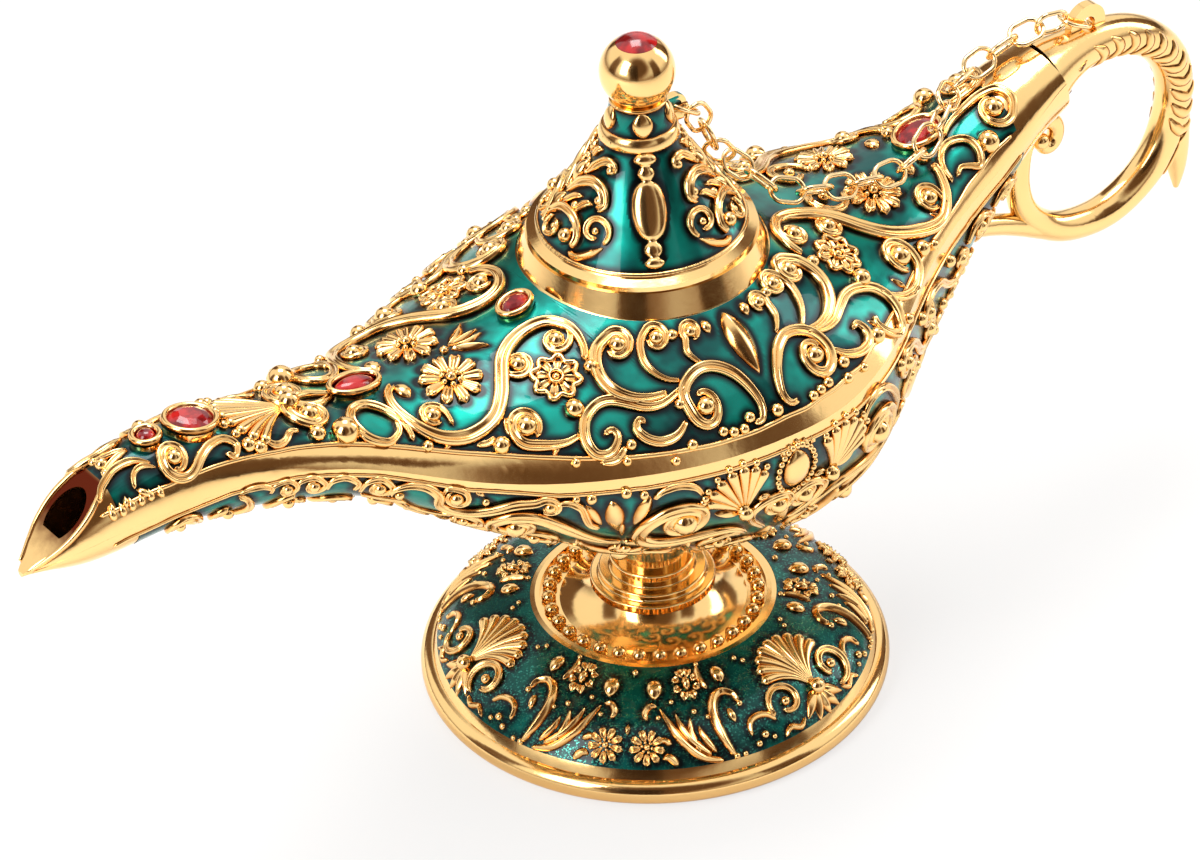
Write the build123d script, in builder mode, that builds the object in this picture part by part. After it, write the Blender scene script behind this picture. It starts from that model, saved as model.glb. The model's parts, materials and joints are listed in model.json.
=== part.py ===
# Genie oil lamp: a hollow cast body in two halves on a bolted foot, a lift-off lid
# on a chain, a ring handle and set stones. Millimetres, +Z up. The origin lies on
# the surface the lamp stands on, under the middle of its foot. The spout points
# along -X and the handle along +X.
import os
from math import cos, pi, radians, sin, sqrt

from build123d import *

os.makedirs("parts", exist_ok=True)

# Fits and walls
seat_gap = 0.02
running_gap = 0.08
overrun = 1.0
shell_wall = 1.5
thin_wall = 1.2

# Foot
foot_diameter = 70.0
rim_roll_radius = 1.9
rim_flat_width = 1.8
foot_wall = 1.6
dish_diameter = 35.2
dish_height = 13.0
dish_border_width = 0.7
dish_step = 0.7
dish_floor_width = 3.0
saddle_diameter = 18.0
saddle_height = 15.6
saddle_sag_share = 0.30
foot_band_shares = ((0.84, 0.40), (0.50, 0.77))

# Stem
stem_flange_diameter = 18.6
stem_flange_thickness = 1.3
stem_step_diameter = 16.0
stem_step_height = 1.2
stem_ring_diameter = 12.6
stem_ring_height = 2.2
stem_neck_diameter = 10.4
stem_neck_height = 2.4
stem_head_diameter = 16.4
stem_head_height = 1.4
stem_top_height = 28.8

# Bolt that holds foot, stem and body together
bolt_diameter = 4.0
bolt_head_diameter = 7.0
bolt_head_height = 2.6
bolt_socket_width = 2.5
bolt_socket_depth = 1.4
bolt_grip_in_boss = 5.0
washer_diameter = 9.0
washer_thickness = 0.8
boss_diameter = 8.4
boss_height = 7.0

# Body: how far it reaches, and its fullest section
spout_reach = 105.3
tail_reach = 77.0
half_width = 33.5
seam_height = 60.4
crown_rise = 19.1
bowl_depth = 30.1

# Sections of the body: place along the reach, then width, seam height, crown and
# bowl as shares of the fullest section, then how round the upper and lower halves are
spout_station_shares = (
    (1.000, 0.018, 1.119, 0.037, 0.023, 0.50, 2.0),
    (0.950, 0.125, 1.159, 0.183, 0.113, 0.50, 2.0),
    (0.874, 0.188, 1.190, 0.351, 0.196, 0.50, 2.0),
    (0.798, 0.209, 1.195, 0.387, 0.183, 0.50, 2.1),
    (0.722, 0.233, 1.194, 0.356, 0.219, 0.50, 2.2),
    (0.627, 0.281, 1.179, 0.251, 0.262, 0.55, 2.3),
    (0.522, 0.382, 1.132, 0.262, 0.279, 0.60, 2.4),
    (0.418, 0.525, 1.061, 0.414, 0.369, 0.70, 2.5),
    (0.313, 0.699, 1.022, 0.555, 0.528, 0.80, 2.5),
    (0.209, 0.848, 1.007, 0.691, 0.724, 0.85, 2.4),
    (0.095, 0.961, 1.000, 0.921, 0.900, 0.90, 2.3),
    (0.000, 1.000, 1.000, 1.000, 1.000, 0.90, 2.3),
)
tail_station_shares = (
    (0.130, 0.985, 1.003, 0.911, 1.040, 0.90, 2.3),
    (0.260, 0.884, 1.020, 0.675, 1.037, 0.85, 2.5),
    (0.390, 0.693, 1.033, 0.513, 0.944, 0.80, 2.7),
    (0.520, 0.490, 1.050, 0.408, 0.784, 0.70, 2.8),
    (0.650, 0.346, 1.079, 0.356, 0.585, 0.60, 2.6),
    (0.780, 0.263, 1.129, 0.335, 0.365, 0.50, 2.3),
    (0.883, 0.215, 1.192, 0.272, 0.299, 0.50, 2.1),
    (1.000, 0.185, 1.258, 0.188, 0.279, 0.50, 2.0),
)
first_hollow_station = 1
last_hollow_station = 17
section_points = 9

# Spout mouth: the slanted cut runs from the tip of the lower lip to the upper lip
mouth_tip_height = 67.6
mouth_top_reach = 92.2
mouth_top_height = 78.3

# Tail end: a leaning face that the handle stands on
tail_face_x = 74.4
tail_face_z = 73.0
tail_face_lean = 19.0
spigot_diameter = 5.6
spigot_length = 6.0

# Collar round the filling mouth
collar_diameter = 36.12
collar_foot_height = 74.6
collar_top_diameter = 33.3
collar_top_height = 78.1
mouth_diameter = 26.8
collar_sleeve_depth = 7.0

# Lid
lid_skirt_depth = 4.2
lid_flange_diameter = 32.8
lid_flange_thickness = 0.9
lid_cone_diameter = 30.4
lid_cone_foot_height = 79.6
lid_neck_diameter = 7.6
lid_neck_height = 100.2
lid_cone_shares = ((0.535, 0.31), (0.23, 0.60), (0.075, 0.84))
ball_diameter = 10.8
ball_centre_height = 104.5
ball_shank_diameter = 3.0
ball_shank_length = 5.0
finial_gem_diameter = 5.8
finial_gem_rise = 1.1
finial_gem_depth = 0.7

# Pierced lugs that hold the two ends of the chain
lug_thickness = 1.1
lid_lug_x = 6.1
lid_lug_z = 96.2
lid_lug_radius = 1.9
lid_lug_hole_diameter = 2.2
ear_x = 82.6
ear_z = 79.0
ear_radius = 3.3
ear_hole_diameter = 2.6
ear_thickness = 1.5

# Handle: a tapering tube that leaves the tail, goes round as a ring, and curls up
# under the tail. Places on its centre line and its radius there are shares of the
# ring's size, counted from the middle of the ring
ring_centre_x = 85.5
ring_centre_z = 58.8
ring_radius = 15.4
tube_radius = 3.0
handle_shares = (
    (-0.721, 0.955, 1.80),
    (-0.440, 1.030, 1.32),
    (-0.065, 1.060, 1.10),
    (0.357, 0.965, 1.04),
    (0.714, 0.725, 1.00),
    (0.935, 0.396, 1.00),
    (0.990, 0.045, 0.97),
    (0.915, -0.312, 0.93),
    (0.721, -0.662, 0.90),
    (0.442, -0.883, 0.88),
    (0.123, -1.000, 0.87),
    (-0.162, -1.006, 0.84),
    (-0.468, -0.935, 0.80),
    (-0.721, -0.786, 0.75),
    (-0.909, -0.571, 0.70),
    (-1.006, -0.279, 0.64),
    (-0.990, 0.045, 0.56),
    (-0.880, 0.320, 0.50),
    (-0.690, 0.400, 0.47),
    (-0.540, 0.250, 0.45),
    (-0.620, 0.085, 0.42),
    (-0.730, 0.170, 0.40),
)
curl_ball_share = 0.46
leaf_shares = (
    (0.970, -0.090, 0.96),
    (1.015, -0.480, 0.80),
    (1.055, -0.850, 0.52),
    (1.062, -1.120, 0.14),
)
strut_shares = (
    (-0.640, -0.860, 0.72),
    (-1.000, -0.690, 0.60),
    (-1.420, -0.520, 0.56),
    (-1.980, -0.440, 0.60),
)

# Stones along the ridge: place as a share of the reach towards the spout or the tail,
# then half length, half width, girdle depth and crown rise as shares of the largest
stone_radius = 3.2
stone_shares = {
    "spout_gem_small": (-0.798, 0.47, 0.47, 0.28, 0.28),
    "spout_gem_large": (-0.731, 1.00, 0.94, 0.34, 0.34),
    "bridge_gem": (-0.477, 1.09, 0.59, 0.28, 0.25),
    "collar_gem": (-0.213, 0.66, 0.50, 0.28, 0.25),
    "tail_gem": (0.657, 1.06, 0.81, 0.31, 0.28),
}
bezel_wall = 0.7
bezel_height = 0.9
crown_slope = 40.0

# Chain
chain_wire_diameter = 0.7
chain_link_width = 4.3
chain_link_count = 21
chain_play = 0.15
chain_roll = 45.0
chain_roll_links = 4
chain_lift = 2.8
chain_over_lid_shares = (
    (0.62, 0.030, 0.74),
    (0.73, 0.055, 0.48),
    (0.82, 0.066, 0.27),
    (1.00, 0.030, 0.12),
)
chain_on_body_shares = (
    (0.262, -0.060, 1.25),
    (0.330, -0.140, 1.00),
    (0.420, -0.170, 1.00),
    (0.520, -0.190, 1.00),
    (0.620, -0.150, 1.15),
    (0.700, -0.060, 1.60),
    (0.760, 0.030, 1.25),
    (0.840, 0.060, 1.00),
    (0.930, 0.040, 1.00),
)


def stations():
    """Give each section of the body in millimetres, from the spout to the tail."""
    rows = []
    for reach_share, *shape in spout_station_shares:
        rows.append((-spout_reach * reach_share, *shape))
    for reach_share, *shape in tail_station_shares:
        rows.append((tail_reach * reach_share, *shape))
    sized = []
    for x, width, seam, crown, bowl, upper_round, lower_round in rows:
        sized.append(
            (
                x,
                half_width * width,
                seam_height * seam,
                crown_rise * crown,
                bowl_depth * bowl,
                upper_round,
                lower_round,
            )
        )
    return sized


body_stations = stations()


def section_at(x):
    """Give the section at a place along the lamp, between its two neighbours."""
    for before, after in zip(body_stations, body_stations[1:]):
        if before[0] <= x <= after[0]:
            share = (x - before[0]) / (after[0] - before[0])
            return [a + (b - a) * share for a, b in zip(before, after)]
    return body_stations[-1]


def crown_height(x, y=0.0):
    """Give the height of the outside of the upper half above a place."""
    _, width, seam, crown, _, upper_round, _ = section_at(x)
    return seam + crown * (1 - (y / width) ** 2) ** upper_round


def upper_outline(station, inset):
    """Give points over the upper half of a section, from one side to the other."""
    _, width, seam, crown, _, upper_round, _ = station
    points = []
    for step in range(section_points):
        across = sin(pi * (step / (section_points - 1) - 0.5))
        rise = (crown - inset) * max(0.0, 1 - across**2) ** upper_round
        points.append(((width - inset) * across, seam + rise))
    return points


def lower_outline(station, inset):
    """Give points round the lower half of a section, from one side to the other."""
    _, width, seam, _, bowl, _, lower_round = station
    points = []
    for step in range(section_points):
        across = sin(pi * (step / (section_points - 1) - 0.5))
        fall = (bowl - inset) * max(0.0, 1 - abs(across) ** lower_round) ** (1 / lower_round)
        points.append(((width - inset) * across, seam - fall))
    return points


def station_inset(station):
    """Give the wall of a section: the full wall, or less where the spout is narrow."""
    return min(shell_wall, station[1] / 4, station[3] / 3)


def half_body(outline):
    """Loft one solid half of the body between its outlines and the level seam."""
    with BuildPart() as half:
        for station in body_stations:
            points = outline(station, 0.0)
            with BuildSketch(Plane.YZ.offset(station[0])):
                with BuildLine():
                    Spline(*points)
                    Line(points[-1], points[0])
                make_face()
        loft()
        split(bisect_by=mouth_plane, keep=Keep.BOTTOM)
        split(bisect_by=tail_plane, keep=Keep.BOTTOM)
    return half.part


# Planes of the spout mouth and of the tail face, each facing away from the lamp
mouth_run = spout_reach - mouth_top_reach
mouth_rise = mouth_top_height - mouth_tip_height
mouth_plane = Plane(
    origin=(-spout_reach, 0, mouth_tip_height),
    x_dir=(0, 1, 0),
    z_dir=(-mouth_rise, 0, mouth_run),
)
tail_normal = (cos(radians(tail_face_lean)), 0, sin(radians(tail_face_lean)))
tail_plane = Plane(origin=(tail_face_x, 0, tail_face_z), x_dir=(0, 1, 0), z_dir=tail_normal)

# The two solid halves of the body, and its hollow
upper_body = half_body(upper_outline)
lower_body = half_body(lower_outline)
with BuildPart() as hollow:
    for station in body_stations[first_hollow_station : last_hollow_station + 1]:
        inset = station_inset(station)
        with BuildSketch(Plane.YZ.offset(station[0])):
            with BuildLine():
                Spline(*upper_outline(station, inset))
                Spline(*lower_outline(station, inset))
            make_face()
    loft()

# Foot: one casting from the rolled rim to the saddle under the stem
foot_radius = foot_diameter / 2
dish_radius = dish_diameter / 2
saddle_radius = saddle_diameter / 2
rim_middle = foot_radius - rim_roll_radius
rim_top = 2 * rim_roll_radius
floor_outer = dish_radius - dish_border_width
floor_height = dish_height - dish_step
floor_inner = floor_outer - dish_floor_width
saddle_rise = saddle_height - floor_height
band_run = rim_middle - dish_radius
band_rise = dish_height - rim_top
bolt_clearance_radius = bolt_diameter / 2 + running_gap

band_outside = [(rim_middle, rim_top)]
for out_share, up_share in foot_band_shares:
    band_outside.append((dish_radius + band_run * out_share, rim_top + band_rise * up_share))
band_outside.append((dish_radius, dish_height))
band_inside = [(rim_middle - rim_flat_width, 0)]
for radius, height in band_outside:
    band_inside.append((radius - foot_wall, height - foot_wall))

with BuildPart() as foot:
    with BuildSketch(Plane.XZ):
        with BuildLine():
            Line((rim_middle - rim_flat_width, 0), (rim_middle, 0))
            ThreePointArc((rim_middle, 0), (foot_radius, rim_roll_radius), (rim_middle, rim_top))
            Spline(*band_outside)
            Polyline(
                (dish_radius, dish_height),
                (floor_outer, dish_height),
                (floor_outer, floor_height),
                (floor_inner, floor_height),
            )
            ThreePointArc(
                (floor_inner, floor_height),
                ((floor_inner + saddle_radius) / 2, floor_height + saddle_rise * saddle_sag_share),
                (saddle_radius, saddle_height),
            )
            Polyline(
                (saddle_radius, saddle_height),
                (bolt_clearance_radius, saddle_height),
                (bolt_clearance_radius, saddle_height - foot_wall),
                (saddle_radius - foot_wall, saddle_height - foot_wall),
                (floor_inner - foot_wall, floor_height - foot_wall),
                band_inside[-1],
            )
            Spline(*band_inside[1:])
            Line(band_inside[1], band_inside[0])
        make_face()
    revolve(axis=Axis.Z)
foot.part.label = "foot"
export_step(foot.part, "parts/foot.step")

# Stem: a turned column of stacked rings between foot and body
stem_rings = (
    (stem_flange_diameter, stem_flange_thickness),
    (stem_step_diameter, stem_step_height),
    (stem_ring_diameter, stem_ring_height),
    (stem_neck_diameter, stem_neck_height),
    (stem_ring_diameter, stem_ring_height),
)
with BuildPart() as stem:
    ring_foot = saddle_height
    for diameter, height in stem_rings:
        with BuildSketch(Plane.XY.offset(ring_foot)):
            Circle(diameter / 2)
        extrude(amount=height)
        ring_foot += height
    with BuildSketch(Plane.XY.offset(ring_foot)):
        Circle(stem_neck_diameter / 2)
    extrude(amount=stem_top_height - ring_foot)
    with BuildSketch(Plane.XY.offset(stem_top_height - stem_head_height)):
        Circle(stem_head_diameter / 2)
    extrude(amount=stem_head_height)
    rounded = stem.edges().filter_by(GeomType.CIRCLE).filter_by(
        lambda edge: edge.radius > stem_neck_diameter / 2
    )
    fillet(rounded.filter_by(lambda edge: edge.center().Z > saddle_height), stem_step_height / 4)
    with Locations((0, 0, saddle_height)):
        Hole(bolt_diameter / 2 + running_gap, depth=stem_top_height)
stem.part.label = "stem"
export_step(stem.part, "parts/stem.step")

# Bolt and washer under the foot
washer_foot = saddle_height - foot_wall - washer_thickness
bolt_tip = stem_top_height + bolt_grip_in_boss
with BuildPart() as stem_washer:
    with BuildSketch(Plane.XY.offset(washer_foot)):
        Circle(washer_diameter / 2)
        Circle(bolt_clearance_radius, mode=Mode.SUBTRACT)
    extrude(amount=washer_thickness)
stem_washer.part.label = "stem_washer"
export_step(stem_washer.part, "parts/stem_washer.step")

with BuildPart() as stem_bolt:
    with BuildSketch(Plane.XY.offset(washer_foot - bolt_head_height)):
        Circle(bolt_head_diameter / 2)
    extrude(amount=bolt_head_height)
    fillet(stem_bolt.faces().sort_by(Axis.Z)[0].edges(), bolt_head_height / 5)
    with BuildSketch(Plane.XY.offset(washer_foot)):
        Circle(bolt_diameter / 2)
    extrude(amount=bolt_tip - washer_foot)
    chamfer(stem_bolt.faces().sort_by(Axis.Z)[-1].edges(), bolt_diameter / 8)
    with BuildSketch(Plane.XY.offset(washer_foot - bolt_head_height)):
        RegularPolygon(bolt_socket_width / 2, 6, major_radius=False)
    extrude(amount=bolt_socket_depth, mode=Mode.SUBTRACT)
stem_bolt.part.label = "stem_bolt"
export_step(stem_bolt.part, "parts/stem_bolt.step")

# Lower shell: the bowl, the underside of the spout and of the tail, and the boss
boss_top = stem_top_height + boss_height
with BuildPart() as lower_shell:
    add(lower_body)
    add(hollow.part, mode=Mode.SUBTRACT)
    with BuildSketch(Plane.XY.offset(stem_top_height)):
        Circle(stem_head_diameter / 2)
    extrude(amount=shell_wall * 2)
    with BuildSketch(Plane.XY.offset(stem_top_height)):
        Circle(boss_diameter / 2)
    extrude(amount=boss_height)
    with BuildSketch(Plane.XY.offset(stem_top_height)):
        Circle(bolt_diameter / 2 + seat_gap)
    extrude(amount=bolt_grip_in_boss + seat_gap, mode=Mode.SUBTRACT)
    with BuildSketch(tail_plane):
        Circle(spigot_diameter / 2 + seat_gap)
    extrude(amount=-spigot_length - seat_gap, mode=Mode.SUBTRACT)
lower_shell.part.label = "lower_shell"
export_step(lower_shell.part, "parts/lower_shell.step")


def stone_sizes():
    """Give each stone's name, place and sizes in millimetres."""
    rows = {}
    for name, (reach_share, *size_shares) in stone_shares.items():
        reach = tail_reach if reach_share > 0 else spout_reach
        rows[name] = (reach * reach_share, *(stone_radius * share for share in size_shares))
    return rows


stone_table = stone_sizes()


def ridge_plane(x):
    """Give the plane that lies on the ridge at a place and faces straight out of it."""
    step = half_width / 10
    rise = crown_height(x + step) - crown_height(x - step)
    return Plane(
        origin=(x, 0, crown_height(x)),
        x_dir=(2 * step, 0, rise),
        z_dir=(-rise, 0, 2 * step),
    )


# Upper shell: shoulders, the top of the spout and of the tail, with a raised setting
# for each stone
collar_radius = collar_diameter / 2
mouth_radius = mouth_diameter / 2
sleeve_radius = mouth_radius + thin_wall
with BuildPart() as upper_shell:
    add(upper_body)
    for x, half_length, half_breadth, depth, rise in stone_table.values():
        with BuildSketch(ridge_plane(x).offset(-depth)):
            Ellipse(half_length + bezel_wall, half_breadth + bezel_wall)
        extrude(amount=depth + bezel_height)
    add(hollow.part, mode=Mode.SUBTRACT)
    for x, half_length, half_breadth, depth, rise in stone_table.values():
        with BuildSketch(ridge_plane(x).offset(bezel_height - depth)):
            Ellipse(half_length + seat_gap, half_breadth + seat_gap)
        extrude(amount=depth + overrun, mode=Mode.SUBTRACT)
    with BuildSketch(Plane.XY.offset(seam_height)):
        Circle(sleeve_radius + seat_gap)
    extrude(amount=crown_rise + overrun, mode=Mode.SUBTRACT)
    with BuildSketch(tail_plane):
        Circle(spigot_diameter / 2 + seat_gap)
    extrude(amount=-spigot_length - seat_gap, mode=Mode.SUBTRACT)
upper_shell.part.label = "upper_shell"
export_step(upper_shell.part, "parts/upper_shell.step")

# Stones: an oval girdle in its setting, with a bevelled crown
for name, (x, half_length, half_breadth, depth, rise) in stone_table.items():
    with BuildPart() as stone:
        with BuildSketch(ridge_plane(x).offset(bezel_height - depth + seat_gap)):
            Ellipse(half_length, half_breadth)
        extrude(amount=depth)
        with BuildSketch(ridge_plane(x).offset(bezel_height + seat_gap)):
            Ellipse(half_length, half_breadth)
        extrude(amount=rise, taper=crown_slope)
    stone.part.label = name
    export_step(stone.part, f"parts/{name}.step")

# Collar: the sloping gold ring round the filling mouth, with a sleeve into the shell
collar_top_radius = collar_top_diameter / 2
sleeve_foot = collar_top_height - collar_sleeve_depth
with BuildPart() as shoulder:
    add(upper_body)
    with BuildSketch(Plane.XY.offset(sleeve_foot - overrun)):
        Circle(sleeve_radius)
    extrude(amount=collar_sleeve_depth + crown_rise, mode=Mode.SUBTRACT)
with BuildPart() as mouth_collar:
    with BuildSketch(Plane.XZ):
        with BuildLine():
            Polyline(
                (mouth_radius, collar_top_height),
                (collar_top_radius, collar_top_height),
                (collar_radius, collar_foot_height),
                (collar_radius, sleeve_foot + shell_wall),
                (sleeve_radius, sleeve_foot + shell_wall),
                (sleeve_radius, sleeve_foot),
                (mouth_radius, sleeve_foot),
                close=True,
            )
        make_face()
    revolve(axis=Axis.Z)
    add(shoulder.part, mode=Mode.SUBTRACT)
mouth_collar.part.label = "mouth_collar"
export_step(mouth_collar.part, "parts/mouth_collar.step")

# Lid: a hollow concave cone on a flange, with a skirt that drops into the mouth and a
# pierced lug behind its neck for the chain
flange_radius = lid_flange_diameter / 2
cone_radius = lid_cone_diameter / 2
neck_radius = lid_neck_diameter / 2
ball_radius = ball_diameter / 2
flange_foot = collar_top_height + seat_gap
flange_top = flange_foot + lid_flange_thickness
skirt_radius = mouth_radius - running_gap
cone_run = cone_radius - neck_radius
cone_rise = lid_neck_height - lid_cone_foot_height
cone_outside = [(cone_radius, lid_cone_foot_height)]
for out_share, up_share in lid_cone_shares:
    radius = neck_radius + cone_run * out_share
    cone_outside.append((radius, lid_cone_foot_height + cone_rise * up_share))
cone_outside.append((neck_radius, lid_neck_height))
cone_inside = [(radius - thin_wall, height - thin_wall) for radius, height in cone_outside[:-1]]
skirt_inside = skirt_radius - thin_wall
skirt_foot = flange_foot - lid_skirt_depth
shank_radius = ball_shank_diameter / 2
shank_foot = ball_centre_height - ball_radius - ball_shank_length
with BuildPart() as lid:
    with BuildSketch(Plane.XZ):
        with BuildLine():
            Polyline(
                cone_inside[0],
                (skirt_inside, flange_foot),
                (skirt_inside, skirt_foot),
                (skirt_radius, skirt_foot),
                (skirt_radius, flange_foot),
                (flange_radius, flange_foot),
                (flange_radius, flange_top),
                cone_outside[0],
            )
            Spline(*cone_outside)
            Polyline(
                cone_outside[-1],
                (0, lid_neck_height),
                (0, cone_inside[-1][1]),
                cone_inside[-1],
            )
            Spline(*cone_inside)
        make_face()
    revolve(axis=Axis.Z)
    with BuildSketch(Plane.XZ.offset(-lug_thickness / 2)):
        with Locations((lid_lug_x, lid_lug_z)):
            Circle(lid_lug_radius)
        with Locations((lid_lug_x / 2, lid_lug_z)):
            Rectangle(lid_lug_x, 2 * lid_lug_radius)
    extrude(amount=lug_thickness)
    with BuildSketch(Plane.XZ.offset(-lug_thickness / 2 - overrun)):
        with Locations((lid_lug_x, lid_lug_z)):
            Circle(lid_lug_hole_diameter / 2)
    extrude(amount=lug_thickness + 2 * overrun, mode=Mode.SUBTRACT)
    with BuildSketch(Plane.XY.offset(shank_foot - seat_gap)):
        Circle(shank_radius + seat_gap)
    extrude(amount=ball_radius + ball_shank_length, mode=Mode.SUBTRACT)
    with Locations((0, 0, ball_centre_height)):
        Sphere(ball_radius + seat_gap, mode=Mode.SUBTRACT)
lid.part.label = "lid"
export_step(lid.part, "parts/lid.step")

# Ball on top of the lid, held by its shank, and the domed stone set in its crown
finial_gem_radius = finial_gem_diameter / 2
gem_edge_height = ball_centre_height + sqrt(ball_radius**2 - finial_gem_radius**2)
gem_floor = gem_edge_height - finial_gem_depth
with BuildPart() as finial_ball:
    with Locations((0, 0, ball_centre_height)):
        Sphere(ball_radius)
    with BuildSketch(Plane.XY.offset(shank_foot)):
        Circle(shank_radius)
    extrude(amount=ball_shank_length + ball_radius)
    with BuildSketch(Plane.XY.offset(gem_floor)):
        Circle(finial_gem_radius + seat_gap)
    extrude(amount=ball_radius, mode=Mode.SUBTRACT)
finial_ball.part.label = "finial_ball"
export_step(finial_ball.part, "parts/finial_ball.step")

with BuildPart() as finial_gem:
    with BuildSketch(Plane.XZ):
        with BuildLine():
            Line((0, gem_floor + seat_gap), (finial_gem_radius, gem_floor + seat_gap))
            Line((finial_gem_radius, gem_floor + seat_gap), (finial_gem_radius, gem_edge_height))
            TangentArc(
                (0, gem_edge_height + finial_gem_rise),
                (finial_gem_radius, gem_edge_height),
                tangent=(1, 0),
            )
            Line((0, gem_edge_height + finial_gem_rise), (0, gem_floor + seat_gap))
        make_face()
    revolve(axis=Axis.Z)
finial_gem.part.label = "finial_gem"
export_step(finial_gem.part, "parts/finial_gem.step")


def ring_place(across_share, up_share):
    """Give a place beside the ring's middle, in the plane of the handle."""
    across = ring_radius * across_share
    up = ring_radius * up_share
    return Vector(ring_centre_x + across, 0, ring_centre_z + up)


def tube_through(rows):
    """Loft round sections along a centre line, square to it at each place."""
    places = [ring_place(across, up) for across, up, _ in rows]
    befores = places[:1] + places[:-1]
    afters = places[1:] + places[-1:]
    with BuildPart() as tube:
        for place, before, after, row in zip(places, befores, afters, rows):
            with BuildSketch(Plane(origin=place, x_dir=(0, 1, 0), z_dir=after - before)):
                Circle(tube_radius * row[2])
        loft()
    return tube.part


# Handle: ring, curl, leaf and strut in one casting, with a spigot into the tail and a
# pierced ear for the chain
with BuildPart() as handle:
    add(tube_through(handle_shares))
    add(tube_through(leaf_shares))
    add(tube_through(strut_shares))
    with Locations(ring_place(*handle_shares[-1][:2])):
        Sphere(tube_radius * curl_ball_share)
    with BuildSketch(Plane.XZ.offset(-ear_thickness / 2)):
        with Locations((ear_x, ear_z)):
            Circle(ear_radius)
        with Locations((ear_x, ear_z - ear_radius)):
            Rectangle(2 * ear_radius, 2 * ear_radius)
    extrude(amount=ear_thickness)
    with BuildSketch(Plane.XZ.offset(-ear_thickness / 2 - overrun)):
        with Locations((ear_x, ear_z)):
            Circle(ear_hole_diameter / 2)
    extrude(amount=ear_thickness + 2 * overrun, mode=Mode.SUBTRACT)
    add(lower_body, mode=Mode.SUBTRACT)
    add(upper_body, mode=Mode.SUBTRACT)
    with BuildSketch(tail_plane):
        Circle(spigot_diameter / 2)
    extrude(amount=-spigot_length)
handle.part.label = "handle"
export_step(handle.part, "parts/handle.step")


def chain_nodes():
    """Give the places where each link of the chain meets the next, lid end first."""
    places = [Vector(lid_lug_x, 0, lid_lug_z)]
    for out_share, side_share, up_share in chain_over_lid_shares:
        height = flange_top + (lid_lug_z - flange_top) * up_share
        places.append(Vector(collar_radius * out_share, collar_radius * side_share, height))
    for reach_share, side_share, lift_share in chain_on_body_shares:
        x = tail_reach * reach_share
        y = half_width * side_share
        places.append(Vector(x, y, crown_height(x, y) + chain_lift * lift_share))
    places.append(Vector(ear_x, 0, ear_z))
    with BuildLine() as route:
        Spline(*places)
    return [route.line @ (step / chain_link_count) for step in range(chain_link_count + 1)]


def link_plane(start, end, number):
    """Give the plane a link lies in: each link is turned a quarter to the one before."""
    along = (end - start).normalized()
    side = along.cross(Vector(0, 0, 1)).normalized()
    above = side.cross(along)
    from_end = min(number, chain_link_count - 1 - number, chain_roll_links)
    roll = radians(90 * (number % 2) + chain_roll * from_end / chain_roll_links)
    facing = above * cos(roll) + side * sin(roll)
    return Plane(origin=(start + end) / 2, x_dir=along, z_dir=facing)


# Chain: oval wire links, each through the next, from the lid's lug to the handle's ear
link_nodes = chain_nodes()
longest_step = max((after - before).length for before, after in zip(link_nodes, link_nodes[1:]))
wire_radius = chain_wire_diameter / 2
bow_radius = (chain_link_width - chain_wire_diameter) / 2
bow_middle = (longest_step + chain_wire_diameter + chain_play) / 2 - bow_radius
for number in range(chain_link_count):
    plane = link_plane(link_nodes[number], link_nodes[number + 1], number)
    with BuildPart() as link:
        with BuildLine(plane) as oval:
            Line((-bow_middle, -bow_radius), (bow_middle, -bow_radius))
            ThreePointArc(
                (bow_middle, -bow_radius),
                (bow_middle + bow_radius, 0),
                (bow_middle, bow_radius),
            )
            Line((bow_middle, bow_radius), (-bow_middle, bow_radius))
            ThreePointArc(
                (-bow_middle, bow_radius),
                (-bow_middle - bow_radius, 0),
                (-bow_middle, -bow_radius),
            )
        with BuildSketch(Plane(origin=oval.line @ 0, z_dir=oval.line % 0)):
            Circle(wire_radius)
        sweep()
    link.part.label = f"chain_link_{number + 1:02d}"
    export_step(link.part, f"parts/chain_link_{number + 1:02d}.step")
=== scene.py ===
"""Looks of the genie oil lamp: gold plating, green enamel, raised scrollwork, stones.

Lengths in the ornament are millimetres and angles are degrees. The frame is the part's
own: the spout points along -X, the handle along +X, the near side faces -Y and the floor
is Z = 0.
"""

import json
import logging
import math
from dataclasses import dataclass, field, replace
from enum import Enum
from typing import Callable, Iterable, Optional, Sequence, Union

import bpy
import numpy as np
from mathutils import Matrix, Vector
from mathutils.bvhtree import BVHTree
from mathutils.kdtree import KDTree

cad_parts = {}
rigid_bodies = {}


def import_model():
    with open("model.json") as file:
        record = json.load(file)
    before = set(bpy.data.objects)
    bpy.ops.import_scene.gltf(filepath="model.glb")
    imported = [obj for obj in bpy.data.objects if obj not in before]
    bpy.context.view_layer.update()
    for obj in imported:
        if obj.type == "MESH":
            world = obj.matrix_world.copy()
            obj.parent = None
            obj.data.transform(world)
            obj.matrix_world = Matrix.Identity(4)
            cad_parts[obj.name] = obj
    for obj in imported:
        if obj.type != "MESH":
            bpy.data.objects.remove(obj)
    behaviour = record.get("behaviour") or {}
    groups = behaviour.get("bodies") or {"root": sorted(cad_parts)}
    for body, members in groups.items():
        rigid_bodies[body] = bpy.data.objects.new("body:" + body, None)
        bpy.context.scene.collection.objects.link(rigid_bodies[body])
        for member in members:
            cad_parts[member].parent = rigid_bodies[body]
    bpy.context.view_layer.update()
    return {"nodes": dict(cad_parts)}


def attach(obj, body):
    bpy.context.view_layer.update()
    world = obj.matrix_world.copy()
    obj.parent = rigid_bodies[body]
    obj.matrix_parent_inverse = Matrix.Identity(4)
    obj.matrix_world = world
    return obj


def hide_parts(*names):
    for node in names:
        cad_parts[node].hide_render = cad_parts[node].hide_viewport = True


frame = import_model()

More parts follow.
